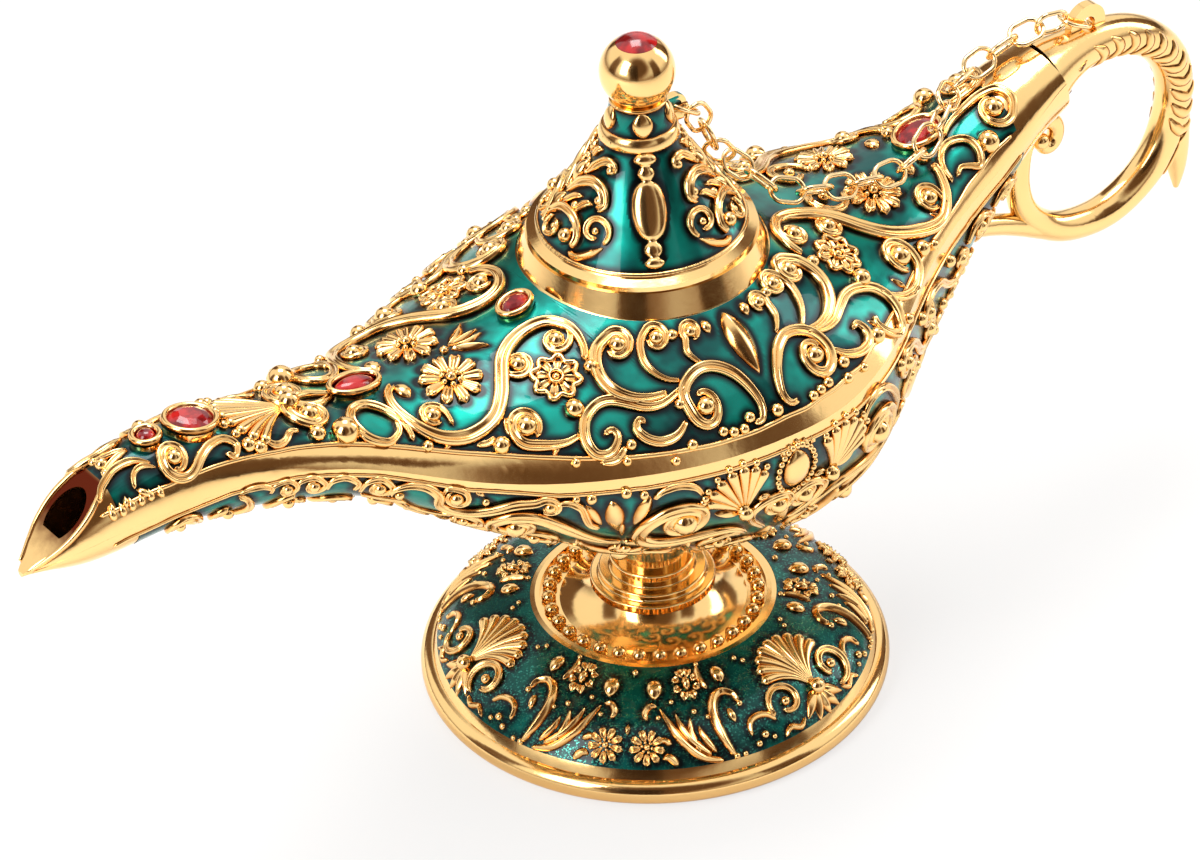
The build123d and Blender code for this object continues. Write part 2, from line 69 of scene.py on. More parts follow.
MM = 0.001
TINY = 1e-9
FULL_TURN = 2 * math.pi
SIDES = (-1.0, 1.0)
MIRROR = (1.0, -1.0, 1.0)
UP = (0.0, 0.0, 1.0)
DOWN = (0.0, 0.0, -1.0)
BODY = "lamp_body"
LID = "lid"
log = logging.getLogger("lamp")

Point = tuple[float, float]
Point3 = tuple[float, float, float]
Colour = Point3
Array = np.ndarray
Gold = Sequence[tuple[Array, float]]
Profile = Union[float, Callable[[Array], Array]]
Number = Union[float, int, "Wire"]


def polar(reach: float, angle: float) -> Point:
    """Give the flat point at a reach and an angle in radians."""
    return reach * math.cos(angle), reach * math.sin(angle)


def even_angles(count: int, shift: float = 0.0) -> list[float]:
    """Give evenly spaced angles round a full turn, in radians."""
    return [FULL_TURN * (k + shift) / count for k in range(count)]


def even(first: float, last: float, count: int, endpoint: bool = True) -> list[float]:
    """Give evenly spaced numbers from the first to the last."""
    return [float(value) for value in np.linspace(first, last, count, endpoint=endpoint)]


def unit(rows: Array) -> Array:
    """Scale the vectors along the last axis of a table to a length of one."""
    return rows / np.maximum(TINY, np.linalg.norm(rows, axis=-1))[..., None]


def lengths_along(line: Array) -> Array:
    """Give the length gone at each place of a line."""
    return np.concatenate(([0.0], np.cumsum(np.linalg.norm(np.diff(line, axis=0), axis=1))))


def show(name: str, data: bpy.types.ID) -> bpy.types.Object:
    """Put a new object with some data into the scene.

    Args:
        name: name of the object.
        data: its mesh, light or camera.

    Returns:
        The object.
    """
    piece = bpy.data.objects.new(name, data)
    bpy.context.scene.collection.objects.link(piece)
    return piece


# Shader helpers
class Wire:
    """A value on a shader node's output, which Python arithmetic adds nodes to."""

    def __init__(self, nodes: "ShaderSheet", socket: bpy.types.NodeSocket) -> None:
        """Keep the sheet and the socket."""
        self.nodes = nodes
        self.socket = socket

    def _math(self, operation: str, *values: Number) -> "Wire":
        """Add one Math node."""
        return self.nodes.add("ShaderNodeMath", {"operation": operation}, dict(enumerate(values)))

    def __add__(self, other: Number) -> "Wire":
        """Add a value."""
        return self._math("ADD", self, other)

    def __sub__(self, other: Number) -> "Wire":
        """Take a value away."""
        return self._math("SUBTRACT", self, other)

    def __mul__(self, other: Number) -> "Wire":
        """Multiply by a value."""
        return self._math("MULTIPLY", self, other)

    def __rsub__(self, other: Number) -> "Wire":
        """Take this away from a value."""
        return self._math("SUBTRACT", other, self)

    def ramp(self, low: float, high: float, first: float = 0.0, last: float = 1.0) -> "Wire":
        """Map low..high smoothly to first..last.

        Args:
            low: value that gives first.
            high: value that gives last.
            first: result at low.
            last: result at high.

        Returns:
            The mapped value.
        """
        settings = {"interpolation_type": "SMOOTHSTEP", "clamp": True}
        values = {0: self, 1: low, 2: high, 3: first, 4: last}
        return self.nodes.add("ShaderNodeMapRange", settings, values)


class ShaderSheet:
    """The node tree of one material or of the world."""

    def __init__(self, tree: bpy.types.NodeTree) -> None:
        """Start from an empty tree."""
        self.tree = tree
        tree.nodes.clear()

    def add(
        self,
        kind: str,
        settings: Optional[dict] = None,
        values: Optional[dict] = None,
        output: Union[int, str] = 0,
    ) -> Wire:
        """Add one node.

        Args:
            kind: the node's type.
            settings: properties of the node, set before its sockets.
            values: a number, colour or Wire for each input, by index or name.
            output: which output the Wire stands on.

        Returns:
            A Wire on the node's output.
        """
        node = self.tree.nodes.new(kind)
        for name, value in (settings or {}).items():
            setattr(node, name, value)
        for key, value in (values or {}).items():
            socket = node.inputs[key]
            if isinstance(value, Wire):
                self.tree.links.new(value.socket, socket)
            else:
                socket.default_value = value
        return Wire(self, node.outputs[output]) if len(node.outputs) else Wire(self, None)

    def place(self) -> Wire:
        """Give the point on the object, in its own coordinates."""
        return self.add("ShaderNodeTexCoord", output="Object")

    def attribute(self, name: str) -> Wire:
        """Give a number kept on the mesh."""
        return self.add("ShaderNodeAttribute", {"attribute_name": name}, output="Fac")

    def noise(self, scale: float, detail: float = 2.0) -> Wire:
        """Give noise over the object."""
        values = {"Vector": self.place(), "Scale": scale, "Detail": detail, "Roughness": 0.5}
        return self.add("ShaderNodeTexNoise", {}, values, "Fac")

    def part(self, vector: Wire, axis: str) -> Wire:
        """Give one part of a vector."""
        return self.add("ShaderNodeSeparateXYZ", {}, {0: vector}, axis)

    def agreement(self, way: Wire, other: Sequence[float]) -> Wire:
        """Give the dot product of a direction and a fixed one."""
        values = {0: way, 1: tuple(float(part) for part in other)}
        return self.add("ShaderNodeVectorMath", {"operation": "DOT_PRODUCT"}, values, "Value")

    def blend(self, share: Number, first: Union[Wire, tuple], second: Union[Wire, tuple]) -> Wire:
        """Mix two colours.

        Args:
            share: how much of the second there is.
            first: colour at share 0.
            second: colour at share 1.

        Returns:
            The mixed colour.
        """
        first = first if isinstance(first, Wire) else (*first[:3], 1.0)
        second = second if isinstance(second, Wire) else (*second[:3], 1.0)
        values = {0: share, 6: first, 7: second}
        return self.add("ShaderNodeMix", {"data_type": "RGBA"}, values, 2)

    def bump(self, height: Wire, strength: float, distance: float) -> Wire:
        """Turn a height into a normal."""
        values = {"Strength": strength, "Distance": distance, "Height": height}
        return self.add("ShaderNodeBump", {}, values)

    def surface(self, shader: Wire) -> None:
        """Connect the shader to the output."""
        self.add("ShaderNodeOutputMaterial", {}, {"Surface": shader})

    def shade(self, values: dict) -> None:
        """Give the surface a principled shader with these inputs."""
        self.surface(self.add("ShaderNodeBsdfPrincipled", {}, values))


# Finishes
@dataclass(frozen=True)
class Finish:
    """One finish: its name and the nodes that it lays out."""

    name: str

    def nodes(self, sheet: ShaderSheet) -> None:
        """Lay out the nodes on an empty sheet."""
        raise NotImplementedError

    def material(self) -> bpy.types.Material:
        """Build the material.

        Returns:
            The new material.
        """
        material = bpy.data.materials.new(self.name)
        material.use_nodes = True
        self.nodes(ShaderSheet(material.node_tree))
        return material


@dataclass(frozen=True)
class GoldFinish(Finish):
    """Polished gold plating, with dark brown where the relief meets its ground, partly patina and partly
    painted shade, and painted shade on the relief's lower flanks.
    """

    colour: Colour = (0.98, 0.64, 0.26)
    # Dark brown at the foot of the relief: partly patina, partly painted shade.
    patina_and_painted_shade: Colour = (0.075, 0.03, 0.010)
    # Orange brown on the relief's lower flanks: painted shade.
    warm: Colour = (0.80, 0.36, 0.09)
    # Darker colour on the spout mouth's slanting face, most at its upper end.
    mouth_dark: Colour = (0.13, 0.018, 0.006)
    roughness: float = 0.13
    wave: float = 0.12
    grain_scale: float = 900.0
    cloud_scale: float = 70.0
    mouth_dark_scale: float = 600.0
    mouth_slope: Point3 = (-0.633, 0.0, 0.775)
    mouth_back: Point = (-0.0930, -0.0915)
    mouth_heights: Point = (0.0690, 0.0735)
    # Paint shade on the relief's lower flanks and dark brown at its foot.
    painted_relief_shade: bool = False
    darkened_mouth: bool = False

    def nodes(self, sheet: ShaderSheet) -> None:
        """Lay out the nodes.

        Args:
            sheet: the material's empty sheet.
        """
        grain = sheet.noise(self.grain_scale, 3.0)
        cloud = sheet.noise(self.cloud_scale)
        light = tuple(min(1.0, part * 1.02 + 0.015) for part in self.colour)
        colour = sheet.blend(cloud.ramp(0.35, 0.7), self.colour, light)
        if self.painted_relief_shade:
            # Painted shade from the share of height on each point: orange brown lower flanks, a dark
            # brown foot (partly patina), and light tops that act as a painted highlight.
            depth = sheet.attribute("tone") + (grain - 0.5) * 0.25
            colour = sheet.blend(depth.ramp(0.35, 0.95), self.warm, colour)
            colour = sheet.blend(depth.ramp(0.10, 0.60), self.patina_and_painted_shade, colour)
        if self.darkened_mouth:
            colour = self.darken_mouth(sheet, colour)
        sheet.shade(
            {
                "Base Color": colour,
                "Metallic": 1.0,
                "Roughness": grain * 0.08 + cloud * 0.06 + (self.roughness - 0.07),
                "Normal": sheet.bump(grain * 0.2 + cloud, self.wave, 0.0004),
            }
        )

    def darken_mouth(self, sheet: ShaderSheet, colour: Wire) -> Wire:
        """Darken the slanting face of the spout's mouth, most at its upper end.

        Args:
            sheet: the material's sheet.
            colour: the clean metal's colour.

        Returns:
            The darkened colour.
        """
        way = sheet.add("ShaderNodeTexCoord", output="Normal")
        facing = sheet.agreement(way, self.mouth_slope)
        place = sheet.place()
        along = sheet.part(place, "X")
        height = sheet.part(place, "Z") + (sheet.noise(self.mouth_dark_scale) - 0.5) * 0.002
        share = facing.ramp(0.97, 0.995) * (1 - along.ramp(*self.mouth_back))
        mouth_dark = sheet.blend(height.ramp(*self.mouth_heights), colour, self.mouth_dark)
        return sheet.blend(share, colour, mouth_dark)


@dataclass(frozen=True)
class EnamelFinish(Finish):
    """Green enamel, thin and bright in the open and darker near the gold, partly where it pools and
    partly as painted shade, with a painted shadow line at the gold's edge.
    """

    bright: Colour = (0.0, 0.29, 0.23)
    middle: Colour = (0.0, 0.082, 0.076)
    # Enamel by the gold: partly pooled enamel, partly painted shade.
    dark: Colour = (0.0, 0.010, 0.015)
    # The line right at the gold's edge: painted shadow, partly pooled enamel.
    edge_pool_and_shadow: Colour = (0.003, 0.006, 0.007)
    flakes: Colour = (0.10, 0.70, 0.52)
    pooling_and_shade_width: float = 1.25
    line_width: float = 0.40
    cloud_scale: float = 110.0
    flake_scale: float = 4600.0
    glitter: float = 0.0

    def nodes(self, sheet: ShaderSheet) -> None:
        """Lay out the nodes.

        Args:
            sheet: the material's empty sheet.
        """
        cloud = sheet.noise(self.cloud_scale, 3.0)
        away = sheet.attribute("pool") + (cloud - 0.5) * 0.5
        colour = sheet.blend(cloud.ramp(0.38, 0.62), self.middle, self.bright)
        # Darker near the gold: partly enamel that pools there, partly painted shade where the relief
        # meets its ground.
        colour = sheet.blend(away.ramp(0.1, self.pooling_and_shade_width), self.dark, colour)
        # A dark painted shadow line right at the gold's edge, partly pooled enamel.
        line = sheet.attribute("pool").ramp(0.04, self.line_width)
        colour = sheet.blend(line, self.edge_pool_and_shadow, colour)
        roughness: Number = 0.30
        if self.glitter:
            values = {"Vector": sheet.place(), "Scale": self.flake_scale}
            cells = sheet.add("ShaderNodeTexVoronoi", {}, values, "Color")
            flake = sheet.add("ShaderNodeSeparateColor", {}, {0: cells}).ramp(0.72, 0.98)
            colour = sheet.blend(flake * self.glitter, colour, self.flakes)
            roughness = 0.42 - flake * 0.22
        sheet.shade(
            {
                "Base Color": colour,
                "Metallic": 0.86,
                "Roughness": roughness,
                "Coat Weight": 0.38,
                "Coat Roughness": 0.03,
                "Normal": sheet.bump(cloud, 0.06, 0.0005),
            }
        )


@dataclass(frozen=True)
class StoneFinish(Finish):
    """Red glass over a dark back."""

    colour: Colour = (0.50, 0.008, 0.008)
    deep: Colour = (0.14, 0.0, 0.003)

    def nodes(self, sheet: ShaderSheet) -> None:
        """Lay out the nodes.

        Args:
            sheet: the material's empty sheet.
        """
        cloud = sheet.noise(420.0, 3.0)
        sheet.shade(
            {
                "Base Color": sheet.blend(cloud.ramp(0.35, 0.65), self.deep, self.colour),
                "Metallic": 0.0,
                "Roughness": cloud * 0.08 + 0.12,
                "Coat Weight": 0.4,
                "Coat Roughness": 0.02,
            }
        )


@dataclass(frozen=True)
class SteelFinish(Finish):
    """Zinc-plated steel of the hidden bolt and washer."""

    dull: Colour = (0.50, 0.50, 0.48)
    bright: Colour = (0.62, 0.61, 0.57)

    def nodes(self, sheet: ShaderSheet) -> None:
        """Lay out the nodes.

        Args:
            sheet: the material's empty sheet.
        """
        grain = sheet.noise(700.0, 3.0)
        sheet.shade(
            {
                "Base Color": sheet.blend(grain, self.dull, self.bright),
                "Metallic": 1.0,
                "Roughness": grain * 0.2 + 0.25,
            }
        )


@dataclass(frozen=True)
class FloorFinish(Finish):
    """White paper that keeps a soft shadow and is whiter to the camera."""

    colour: Colour = (0.86, 0.85, 0.84)
    glow: float = 0.72

    def nodes(self, sheet: ShaderSheet) -> None:
        """Lay out the nodes.

        Args:
            sheet: the material's empty sheet.
        """
        seen = sheet.add("ShaderNodeLightPath", output="Is Camera Ray")
        light = tuple(part * 1.01 for part in self.colour)
        tint = sheet.blend(sheet.noise(6.0), self.colour, light)
        paper = sheet.add("ShaderNodeBsdfDiffuse", {}, {"Color": tint})
        white = {"Color": (1.0, 1.0, 1.0, 1.0), "Strength": 1.0}
        glow = sheet.add("ShaderNodeEmission", {}, white)
        mixed = {0: seen * self.glow, 1: paper, 2: glow}
        sheet.surface(sheet.add("ShaderNodeMixShader", {}, mixed))


# Surfaces to work on
class Skin:
    """The outside of some CAD nodes, in millimetres, on which points are dropped."""

    def __init__(self, *nodes: str) -> None:
        """Gather the nodes' triangles.

        Args:
            nodes: names of CAD nodes.
        """
        points: list[tuple[float, ...]] = []
        corners: list[tuple[int, ...]] = []
        for name in nodes:
            mesh = frame["nodes"][name].data
            first = len(points)
            points.extend(tuple(part / MM for part in vertex.co) for vertex in mesh.vertices)
            corners.extend(tuple(first + i for i in face.vertices) for face in mesh.polygons)
        self.tree = BVHTree.FromPolygons(points, corners)

    def drop(self, start: Sequence[float], way: Sequence[float]) -> Optional[Array]:
        """Send a ray and give where it lands.

        Args:
            start: where the ray starts.
            way: its direction.

        Returns:
            The point, or None where it misses.
        """
        place = self.tree.ray_cast(Vector(start), Vector(way))[0]
        return None if place is None else np.array(place)


def levelled(field: Array, reach: tuple[int, int], least: float = 0.14) -> Array:
    """Take narrow raised ribs out of a field of heights.

    Args:
        field: heights over a regular grid.
        reach: half the width of the widest rib, in cells each way.
        least: ribs lower than this stay.

    Returns:
        The heights without the ribs.
    """
    level = field
    for pick in (np.minimum, np.maximum):
        for axis, cells in enumerate(reach):
            wide = level
            for shift in range(1, cells + 1):
                for way in (shift, -shift):
                    moved = np.roll(level, way, axis=axis)
                    edge = [slice(None)] * 2
                    edge[axis] = slice(0, shift) if way > 0 else slice(-shift, None)
                    moved[tuple(edge)] = level[tuple(edge)]
                    wide = pick(wide, moved)
            level = wide
    return np.where(field - level > least, level, field)


def between(grid: Array, row: float, column: float) -> Array:
    """Look a value up between the cells of a grid.

    Args:
        grid: the values.
        row: where along the rows, with a part.
        column: where along the columns, with a part.

    Returns:
        The blend of the four values round the place.
    """
    row = float(np.clip(row, 0, grid.shape[0] - 1.001))
    column = float(np.clip(column, 0, grid.shape[1] - 1.001))
    i, j = int(row), int(column)
    a, b = row - i, column - j
    low = grid[i, j] * (1 - b) + grid[i, j + 1] * b
    high = grid[i + 1, j] * (1 - b) + grid[i + 1, j + 1] * b
    return low * (1 - a) + high * a


class Chart:
    """Two coordinates on a surface, each a length or an angle."""

    step: Point = (0.6, 0.6)

    def __init__(self, skin: Skin) -> None:
        """Keep the surface."""
        self.skin = skin

    def point(self, u: float, v: float) -> Array:
        """Give the place on the surface."""
        raise NotImplementedError

    def outward(self, u: float, v: float) -> Array:
        """Give a rough outward direction, which is up unless a chart says otherwise."""
        return np.array(UP)

    def normal(self, u: float, v: float) -> Array:
        """Give the smoothed outward normal at a place.

        Args:
            u: first coordinate.
            v: second coordinate.

        Returns:
            The normal, taken over a step to each side.
        """
        du, dv = self.step
        along = self.point(u + du, v) - self.point(u - du, v)
        across = self.point(u, v + dv) - self.point(u, v - dv)
        normal = np.cross(along, across)
        size = np.linalg.norm(normal)
        rough = self.outward(u, v)
        if size < TINY:
            return rough
        normal = normal / size
        return normal if normal @ rough > 0 else -normal

    def spots(self, pairs: Iterable[Point]) -> tuple[Array, Array]:
        """Give places and normals for many coordinate pairs.

        Args:
            pairs: the coordinates.

        Returns:
            The places and the normals, one row each.
        """
        pairs = list(pairs)
        places = np.array([self.point(u, v) for u, v in pairs])
        normals = np.array([self.normal(u, v) for u, v in pairs])
        return places, normals


class PlanChart(Chart):
    """Coordinates x, y of the upper half, dropped from above."""

    pitch = 0.4
    height = 130.0
    bare = 60.0

    def __init__(self, skin: Skin) -> None:
        """Drop a fine grid and take narrow raised forms, such as the settings, out of it.

        Args:
            skin: surface of the upper half.
        """
        super().__init__(skin)
        self.xs = np.arange(-106.0, 76.0, self.pitch)
        self.ys = np.arange(-35.2, 35.3, self.pitch)
        heights = np.full((len(self.xs), len(self.ys)), np.nan)
        for i, x in enumerate(self.xs):
            for j, y in enumerate(self.ys):
                place = skin.drop((x, y, self.height), DOWN)
                if place is not None:
                    heights[i, j] = place[2]
        for i in range(len(self.xs) - 2, -1, -1):
            gone = np.isnan(heights[i])
            heights[i, gone] = heights[i + 1, gone]
        self.heights = levelled(np.nan_to_num(heights, nan=self.bare), (3, 3))

    def point(self, u: float, v: float) -> Array:
        """Look the height up between the dropped points."""
        row, column = (u - self.xs[0]) / self.pitch, (v - self.ys[0]) / self.pitch
        return np.array((u, v, between(self.heights, row, column)))


class BowlChart(Chart):
    """Coordinates x, s of the lower half: s is the way down from the near seam."""

    pitch = 0.9
    down_pitch = 0.5
    longest = 43.0
    far = 60.0
    seam: tuple[Point, ...] = (
        (-105.0, 67.6), (-98.0, 70.5), (-92.0, 71.9), (-84.0, 72.2), (-76.0, 72.1),
        (-66.0, 71.2), (-55.0, 68.4), (-44.0, 64.1), (-33.0, 61.7), (-22.0, 60.8),
        (-10.0, 60.4), (10.0, 60.6), (20.0, 61.6), (30.0, 62.4), (40.0, 63.4),
        (50.0, 65.2), (60.0, 68.2), (68.0, 72.0), (77.0, 76.0),
    )

    def __init__(self, skin: Skin) -> None:
        """Measure the sections of the lower half.

        Args:
            skin: surface of both halves.
        """
        super().__init__(skin)
        self.stations = np.arange(-104.0, 76.1, self.pitch)
        self.ways = np.arange(0.0, 44.0, self.down_pitch)
        angles = np.radians(np.linspace(0.0, 90.0, 121))
        middles = [self.axis(float(x)) for x in self.stations]
        ways = [np.array((0.0, -math.cos(angle), -math.sin(angle))) for angle in angles]
        reach = np.zeros((len(middles), len(ways)))
        for i, middle in enumerate(middles):
            for j, way in enumerate(ways):
                place = skin.drop(middle + way * self.far, -way)
                reach[i, j] = reach[i, j - 1] if place is None else (place - middle) @ way
        reach = levelled(reach, (2, 4))
        rows = []
        for middle, row in zip(middles, reach):
            line = np.array([middle + way * far for way, far in zip(ways, row)])
            gone = lengths_along(line)
            rows.append(np.stack([np.interp(self.ways, gone, line[:, k]) for k in range(3)], axis=1))
        self.table = np.array(rows)
        self.lengths = [self._length(row) for row in self.table]

    def axis(self, x: float) -> Array:
        """Give the middle of a section, at the height of its seam."""
        xs, heights = zip(*self.seam)
        return np.array((x, 0.0, float(np.interp(x, xs, heights))))

    def _length(self, row: Array) -> float:
        """Give how far the section runs before it reaches the keel."""
        off = np.nonzero(np.abs(row[:, 1]) < 0.06)[0]
        return float(off[0]) * self.down_pitch if len(off) else self.longest

    def keel(self, x: float) -> float:
        """Give the way from seam to keel at a section."""
        return float(np.interp(x, self.stations, self.lengths))

    def point(self, u: float, v: float) -> Array:
        """Look the place up between the measured sections."""
        return between(self.table, (u - self.stations[0]) / self.pitch, v / self.down_pitch)

    def outward(self, u: float, v: float) -> Array:
        """Point from the axis to the place."""
        away = self.point(u, v) - self.axis(u)
        return away / max(1e-6, float(np.linalg.norm(away)))


class RingChart(Chart):
    """Coordinates degrees, radius on the foot, dropped from above."""

    step = (2.0, 0.5)
    height = 40.0

    def point(self, u: float, v: float) -> Array:
        """Drop a point from above."""
        x, y = polar(v, math.radians(u))
        place = self.skin.drop((x, y, self.height), DOWN)
        return np.array((x, y, 0.0)) if place is None else place


class ConeChart(Chart):
    """Coordinates degrees, height on the lid, dropped from outside."""

    step = (3.0, 0.5)
    far = 40.0

    def point(self, u: float, v: float) -> Array:
        """Drop a point towards the axis."""
        way = np.array((*polar(1.0, math.radians(u)), 0.0))
        place = self.skin.drop(way * self.far + (0, 0, v), -way)
        return np.array((0.0, 0.0, v)) if place is None else place

    def outward(self, u: float, v: float) -> Array:
        """Point away from the axis and a little up."""
        return np.array((*polar(1.0, math.radians(u)), 0.3))


class TubeChart(Chart):
    """Coordinates on a ring of tube in the XZ plane: degrees round it, degrees round its tube."""

    step = (1.5, 8.0)
    tube_radius = 2.9
    far = 5.5
    farthest = 4.5

    def __init__(self, skin: Skin, centre: Point, radius: float) -> None:
        """Keep the surface and the ring.

        Args:
            skin: surface of the ring.
            centre: x and z of its middle.
            radius: radius of its centre line.
        """
        super().__init__(skin)
        self.core = np.array((centre[0], 0.0, centre[1]))
        self.radius = radius

    @staticmethod
    def _spoke(u: float) -> Array:
        """Give the direction from the ring's middle to its centre line."""
        return np.array((math.cos(math.radians(u)), 0.0, math.sin(math.radians(u))))

    def outward(self, u: float, v: float) -> Array:
        """Point from the centre line to the place."""
        turn = math.radians(v)
        return self._spoke(u) * math.cos(turn) + np.array((0.0, -1.0, 0.0)) * math.sin(turn)

    def point(self, u: float, v: float) -> Array:
        """Drop a point on the tube.

        Args:
            u: degrees round the ring.
            v: degrees round the tube.

        Returns:
            The place, or one at the tube's radius where nothing is near.
        """
        way = self.outward(u, v)
        core = self.core + self.radius * self._spoke(u)
        place = self.skin.drop(core + way * self.far, -way)
        if place is None or np.linalg.norm(place - core) > self.farthest:
            return core + way * self.tube_radius
        return place


class TangentChart(Chart):
    """Flat coordinates round one place of another chart, for one small motif."""

    step = (0.35, 0.35)
    above = 4.0
    deepest = 3.0

    def __init__(self, base: Chart, u: float, v: float, turn: float = 0.0) -> None:
        """Lay the flat coordinates.

        Args:
            base: chart of the surface.
            u: first coordinate of the middle.
            v: second coordinate of the middle.
            turn: angle of the motif in degrees.
        """
        super().__init__(base.skin)
        self.middle = base.point(u, v)
        self.up = base.normal(u, v)
        du, dv = base.step
        along = base.point(u + du, v) - base.point(u - du, v)
        along = along - self.up * (along @ self.up)
        along = along / np.linalg.norm(along)
        across = np.cross(self.up, along)
        if across @ (base.point(u, v + dv) - base.point(u, v - dv)) < 0:
            across = -across
        c, s = polar(1.0, math.radians(turn))
        self.along = along * c + across * s
        self.across = across * c - along * s

    def point(self, u: float, v: float) -> Array:
        """Drop a point along the motif's own normal.

        Args:
            u: first flat coordinate.
            v: second flat coordinate.

        Returns:
            The place, or the flat one where the surface falls away.
        """
        flat = self.middle + self.along * u + self.across * v
        place = self.skin.drop(flat + self.up * self.above, -self.up)
        if place is None or abs((place - flat) @ self.up) > self.deepest:
            return flat
        return place

    def outward(self, u: float, v: float) -> Array:
        """Point along the motif's normal."""
        return self.up


# Relief
class Section(Enum):
    """Cross-sections of raised gold: across and up as shares, then whether it is sunk."""

    ROUND = (
        (-1.0, 0.0, 1), (-0.94, 0.38, 0), (-0.72, 0.76, 0), (-0.36, 0.96, 0), (0.0, 1.0, 0),
        (0.36, 0.96, 0), (0.72, 0.76, 0), (0.94, 0.38, 0), (1.0, 0.0, 1),
    )
    GROOVED = (
        (-1.0, 0.0, 1), (-0.97, 0.50, 0), (-0.80, 0.88, 0), (-0.56, 0.98, 0), (-0.30, 0.70, 0),
        (0.0, 0.52, 0), (0.30, 0.74, 0), (0.56, 1.0, 0), (0.80, 0.88, 0), (0.97, 0.50, 0),
        (1.0, 0.0, 1),
    )
    RIDGED = (
        (-1.0, 0.0, 1), (-0.92, 0.26, 0), (-0.5, 0.62, 0), (-0.10, 0.97, 0), (0.0, 1.0, 0),
        (0.10, 0.97, 0), (0.5, 0.62, 0), (0.92, 0.26, 0), (1.0, 0.0, 1),
    )
    DISHED = (
        (-1.0, 0.0, 1), (-0.96, 0.70, 0), (-0.80, 1.0, 0), (-0.58, 0.80, 0), (0.0, 0.42, 0),
        (0.58, 0.80, 0), (0.80, 1.0, 0), (0.96, 0.70, 0), (1.0, 0.0, 1),
    )


FULLER = 1.33
HIGHER = 1.15


@dataclass(frozen=True)
class Strand:
    """One scroll as measured: where it runs, its curls, its form and how far it curls round.

    A curl has the two coordinates of its middle and its radius. The ends are shares of the
    width.
    """

    points: tuple[Point, ...]
    start: Optional[Point3] = None
    end: Optional[Point3] = None
    width: float = 1.3
    height: float = 0.85
    section: Section = Section.GROOVED
    ends: Point = (0.5, 0.5)
    turns: float = 0.85


class MeshDraft:
    """Points, faces and one number for each point, gathered for one mesh."""

    def __init__(self, mark: str) -> None:
        """Start empty.

        Args:
            mark: name of the number that each point carries.
        """
        self.mark = mark
        self.points: list[Array] = []
        self.marks: list[Array] = []
        self.faces: list[tuple[int, ...]] = []
        self.count = 0

    def add(self, points: Array, marks: Array, faces: Iterable[Sequence[int]]) -> None:
        """Add points with their numbers, and faces between them.

        Args:
            points: the points, in millimetres.
            marks: the number of each.
            faces: the faces, which count from the first of these points.
        """
        self.points.append(np.asarray(points, float))
        self.marks.append(np.asarray(marks, float))
        first = self.count
        self.faces.extend(tuple(first + i for i in face) for face in faces)
        self.count += len(points)

    def build(self, name: str, material: bpy.types.Material, both: bool = False) -> bpy.types.Object:
        """Make the object.

        Args:
            name: name of the piece.
            material: its finish.
            both: also add the mirror image on the far side.

        Returns:
            The new object, in metres.
        """
        points = np.concatenate(self.points)
        marks = np.concatenate(self.marks)
        faces = list(self.faces)
        if both:
            flipped = [tuple(i + len(points) for i in reversed(face)) for face in faces]
            points = np.concatenate((points, points * MIRROR))
            marks = np.concatenate((marks, marks))
            faces += flipped
        mesh = bpy.data.meshes.new(name)
        mesh.from_pydata((points * MM).tolist(), [], faces)
        mesh.polygons.foreach_set("use_smooth", [True] * len(mesh.polygons))
        layer = mesh.attributes.new(self.mark, "FLOAT", "POINT")
        layer.data.foreach_set("value", marks.astype(np.float32))
        mesh.materials.append(material)
        mesh.update()
        return show(name, mesh)


def smooth_line(points: Sequence[Point], closed: bool = False, per_step: int = 12) -> Array:
    """Run a smooth line through some points.

    Args:
        points: the points, in chart coordinates.
        closed: join the last to the first.
        per_step: how many places to give between two points.

    Returns:
        The places, one row each.
    """
    spots = np.array(points, float)
    if len(spots) == 2 and not closed:
        shares = np.linspace(0, 1, per_step)[:, None]
        return spots[0] * (1 - shares) + spots[1] * shares
    if closed:
        spots = np.concatenate((spots[-1:], spots, spots[:2]))
    else:
        spots = np.concatenate((2 * spots[:1] - spots[1:2], spots, 2 * spots[-1:] - spots[-2:-1]))
    places = []
    for a, b, c, d in zip(spots, spots[1:], spots[2:], spots[3:]):
        for k in range(per_step):
            t = k / per_step
            places.append(
                0.5
                * (
                    2 * b
                    + (c - a) * t
                    + (2 * a - 5 * b + 4 * c - d) * t * t
                    + (3 * b - a - 3 * c + d) * t**3
                )
            )
    if not closed:
        places.append(spots[-2])
    return np.array(places)


def spread(lengths: Array, gap: float, closed: bool = False) -> Array:
    """Give even steps along a line.

    Args:
        lengths: length gone at each of its places.
        gap: wanted distance between two steps.
        closed: the line comes back to its start.

    Returns:
        Row numbers into the line, with their parts.
    """
    count = max(4, int(lengths[-1] / gap) + 1)
    wanted = np.linspace(0.0, lengths[-1], count, endpoint=not closed)
    return np.interp(wanted, lengths, np.arange(len(lengths)))


def grid_faces(rows: int, columns: int, ring: bool, wrap: bool) -> list[tuple[int, ...]]:
    """Give the four-cornered faces between rows of points.

    Args:
        rows: how many rows.
        columns: points in a row.
        ring: the last row joins the first.
        wrap: each row comes back to its start.

    Returns:
        The faces, as numbers of their points.
    """
    faces = []
    for i in range(rows if ring else rows - 1):
        first, after = i * columns, (i + 1) % rows * columns
        for j in range(columns if wrap else columns - 1):
            k = (j + 1) % columns
            faces.append((first + j, first + k, after + k, after + j))
    return faces


def grid_normals(grid: Array, rough: Sequence, wrap: bool = False) -> Array:
    """Give the outward normals of a grid of places.

    Args:
        grid: rows of places.
        rough: a rough outward direction, one for all or one for each place.
        wrap: each row comes back to its start.

    Returns:
        The normals, one for each place.
    """
    along = np.gradient(grid, axis=0)
    if wrap:
        across = np.roll(grid, -1, axis=1) - np.roll(grid, 1, axis=1)
    else:
        across = np.gradient(grid, axis=1)
    ways = unit(np.cross(along, across))
    ways[(ways * rough).sum(axis=2) < 0] *= -1
    return ways


def mirrored(gold: Gold) -> list[tuple[Array, float]]:
    """Give the mirror image of some gold about the lamp's middle."""
    return [(place * MIRROR, half) for place, half in gold]


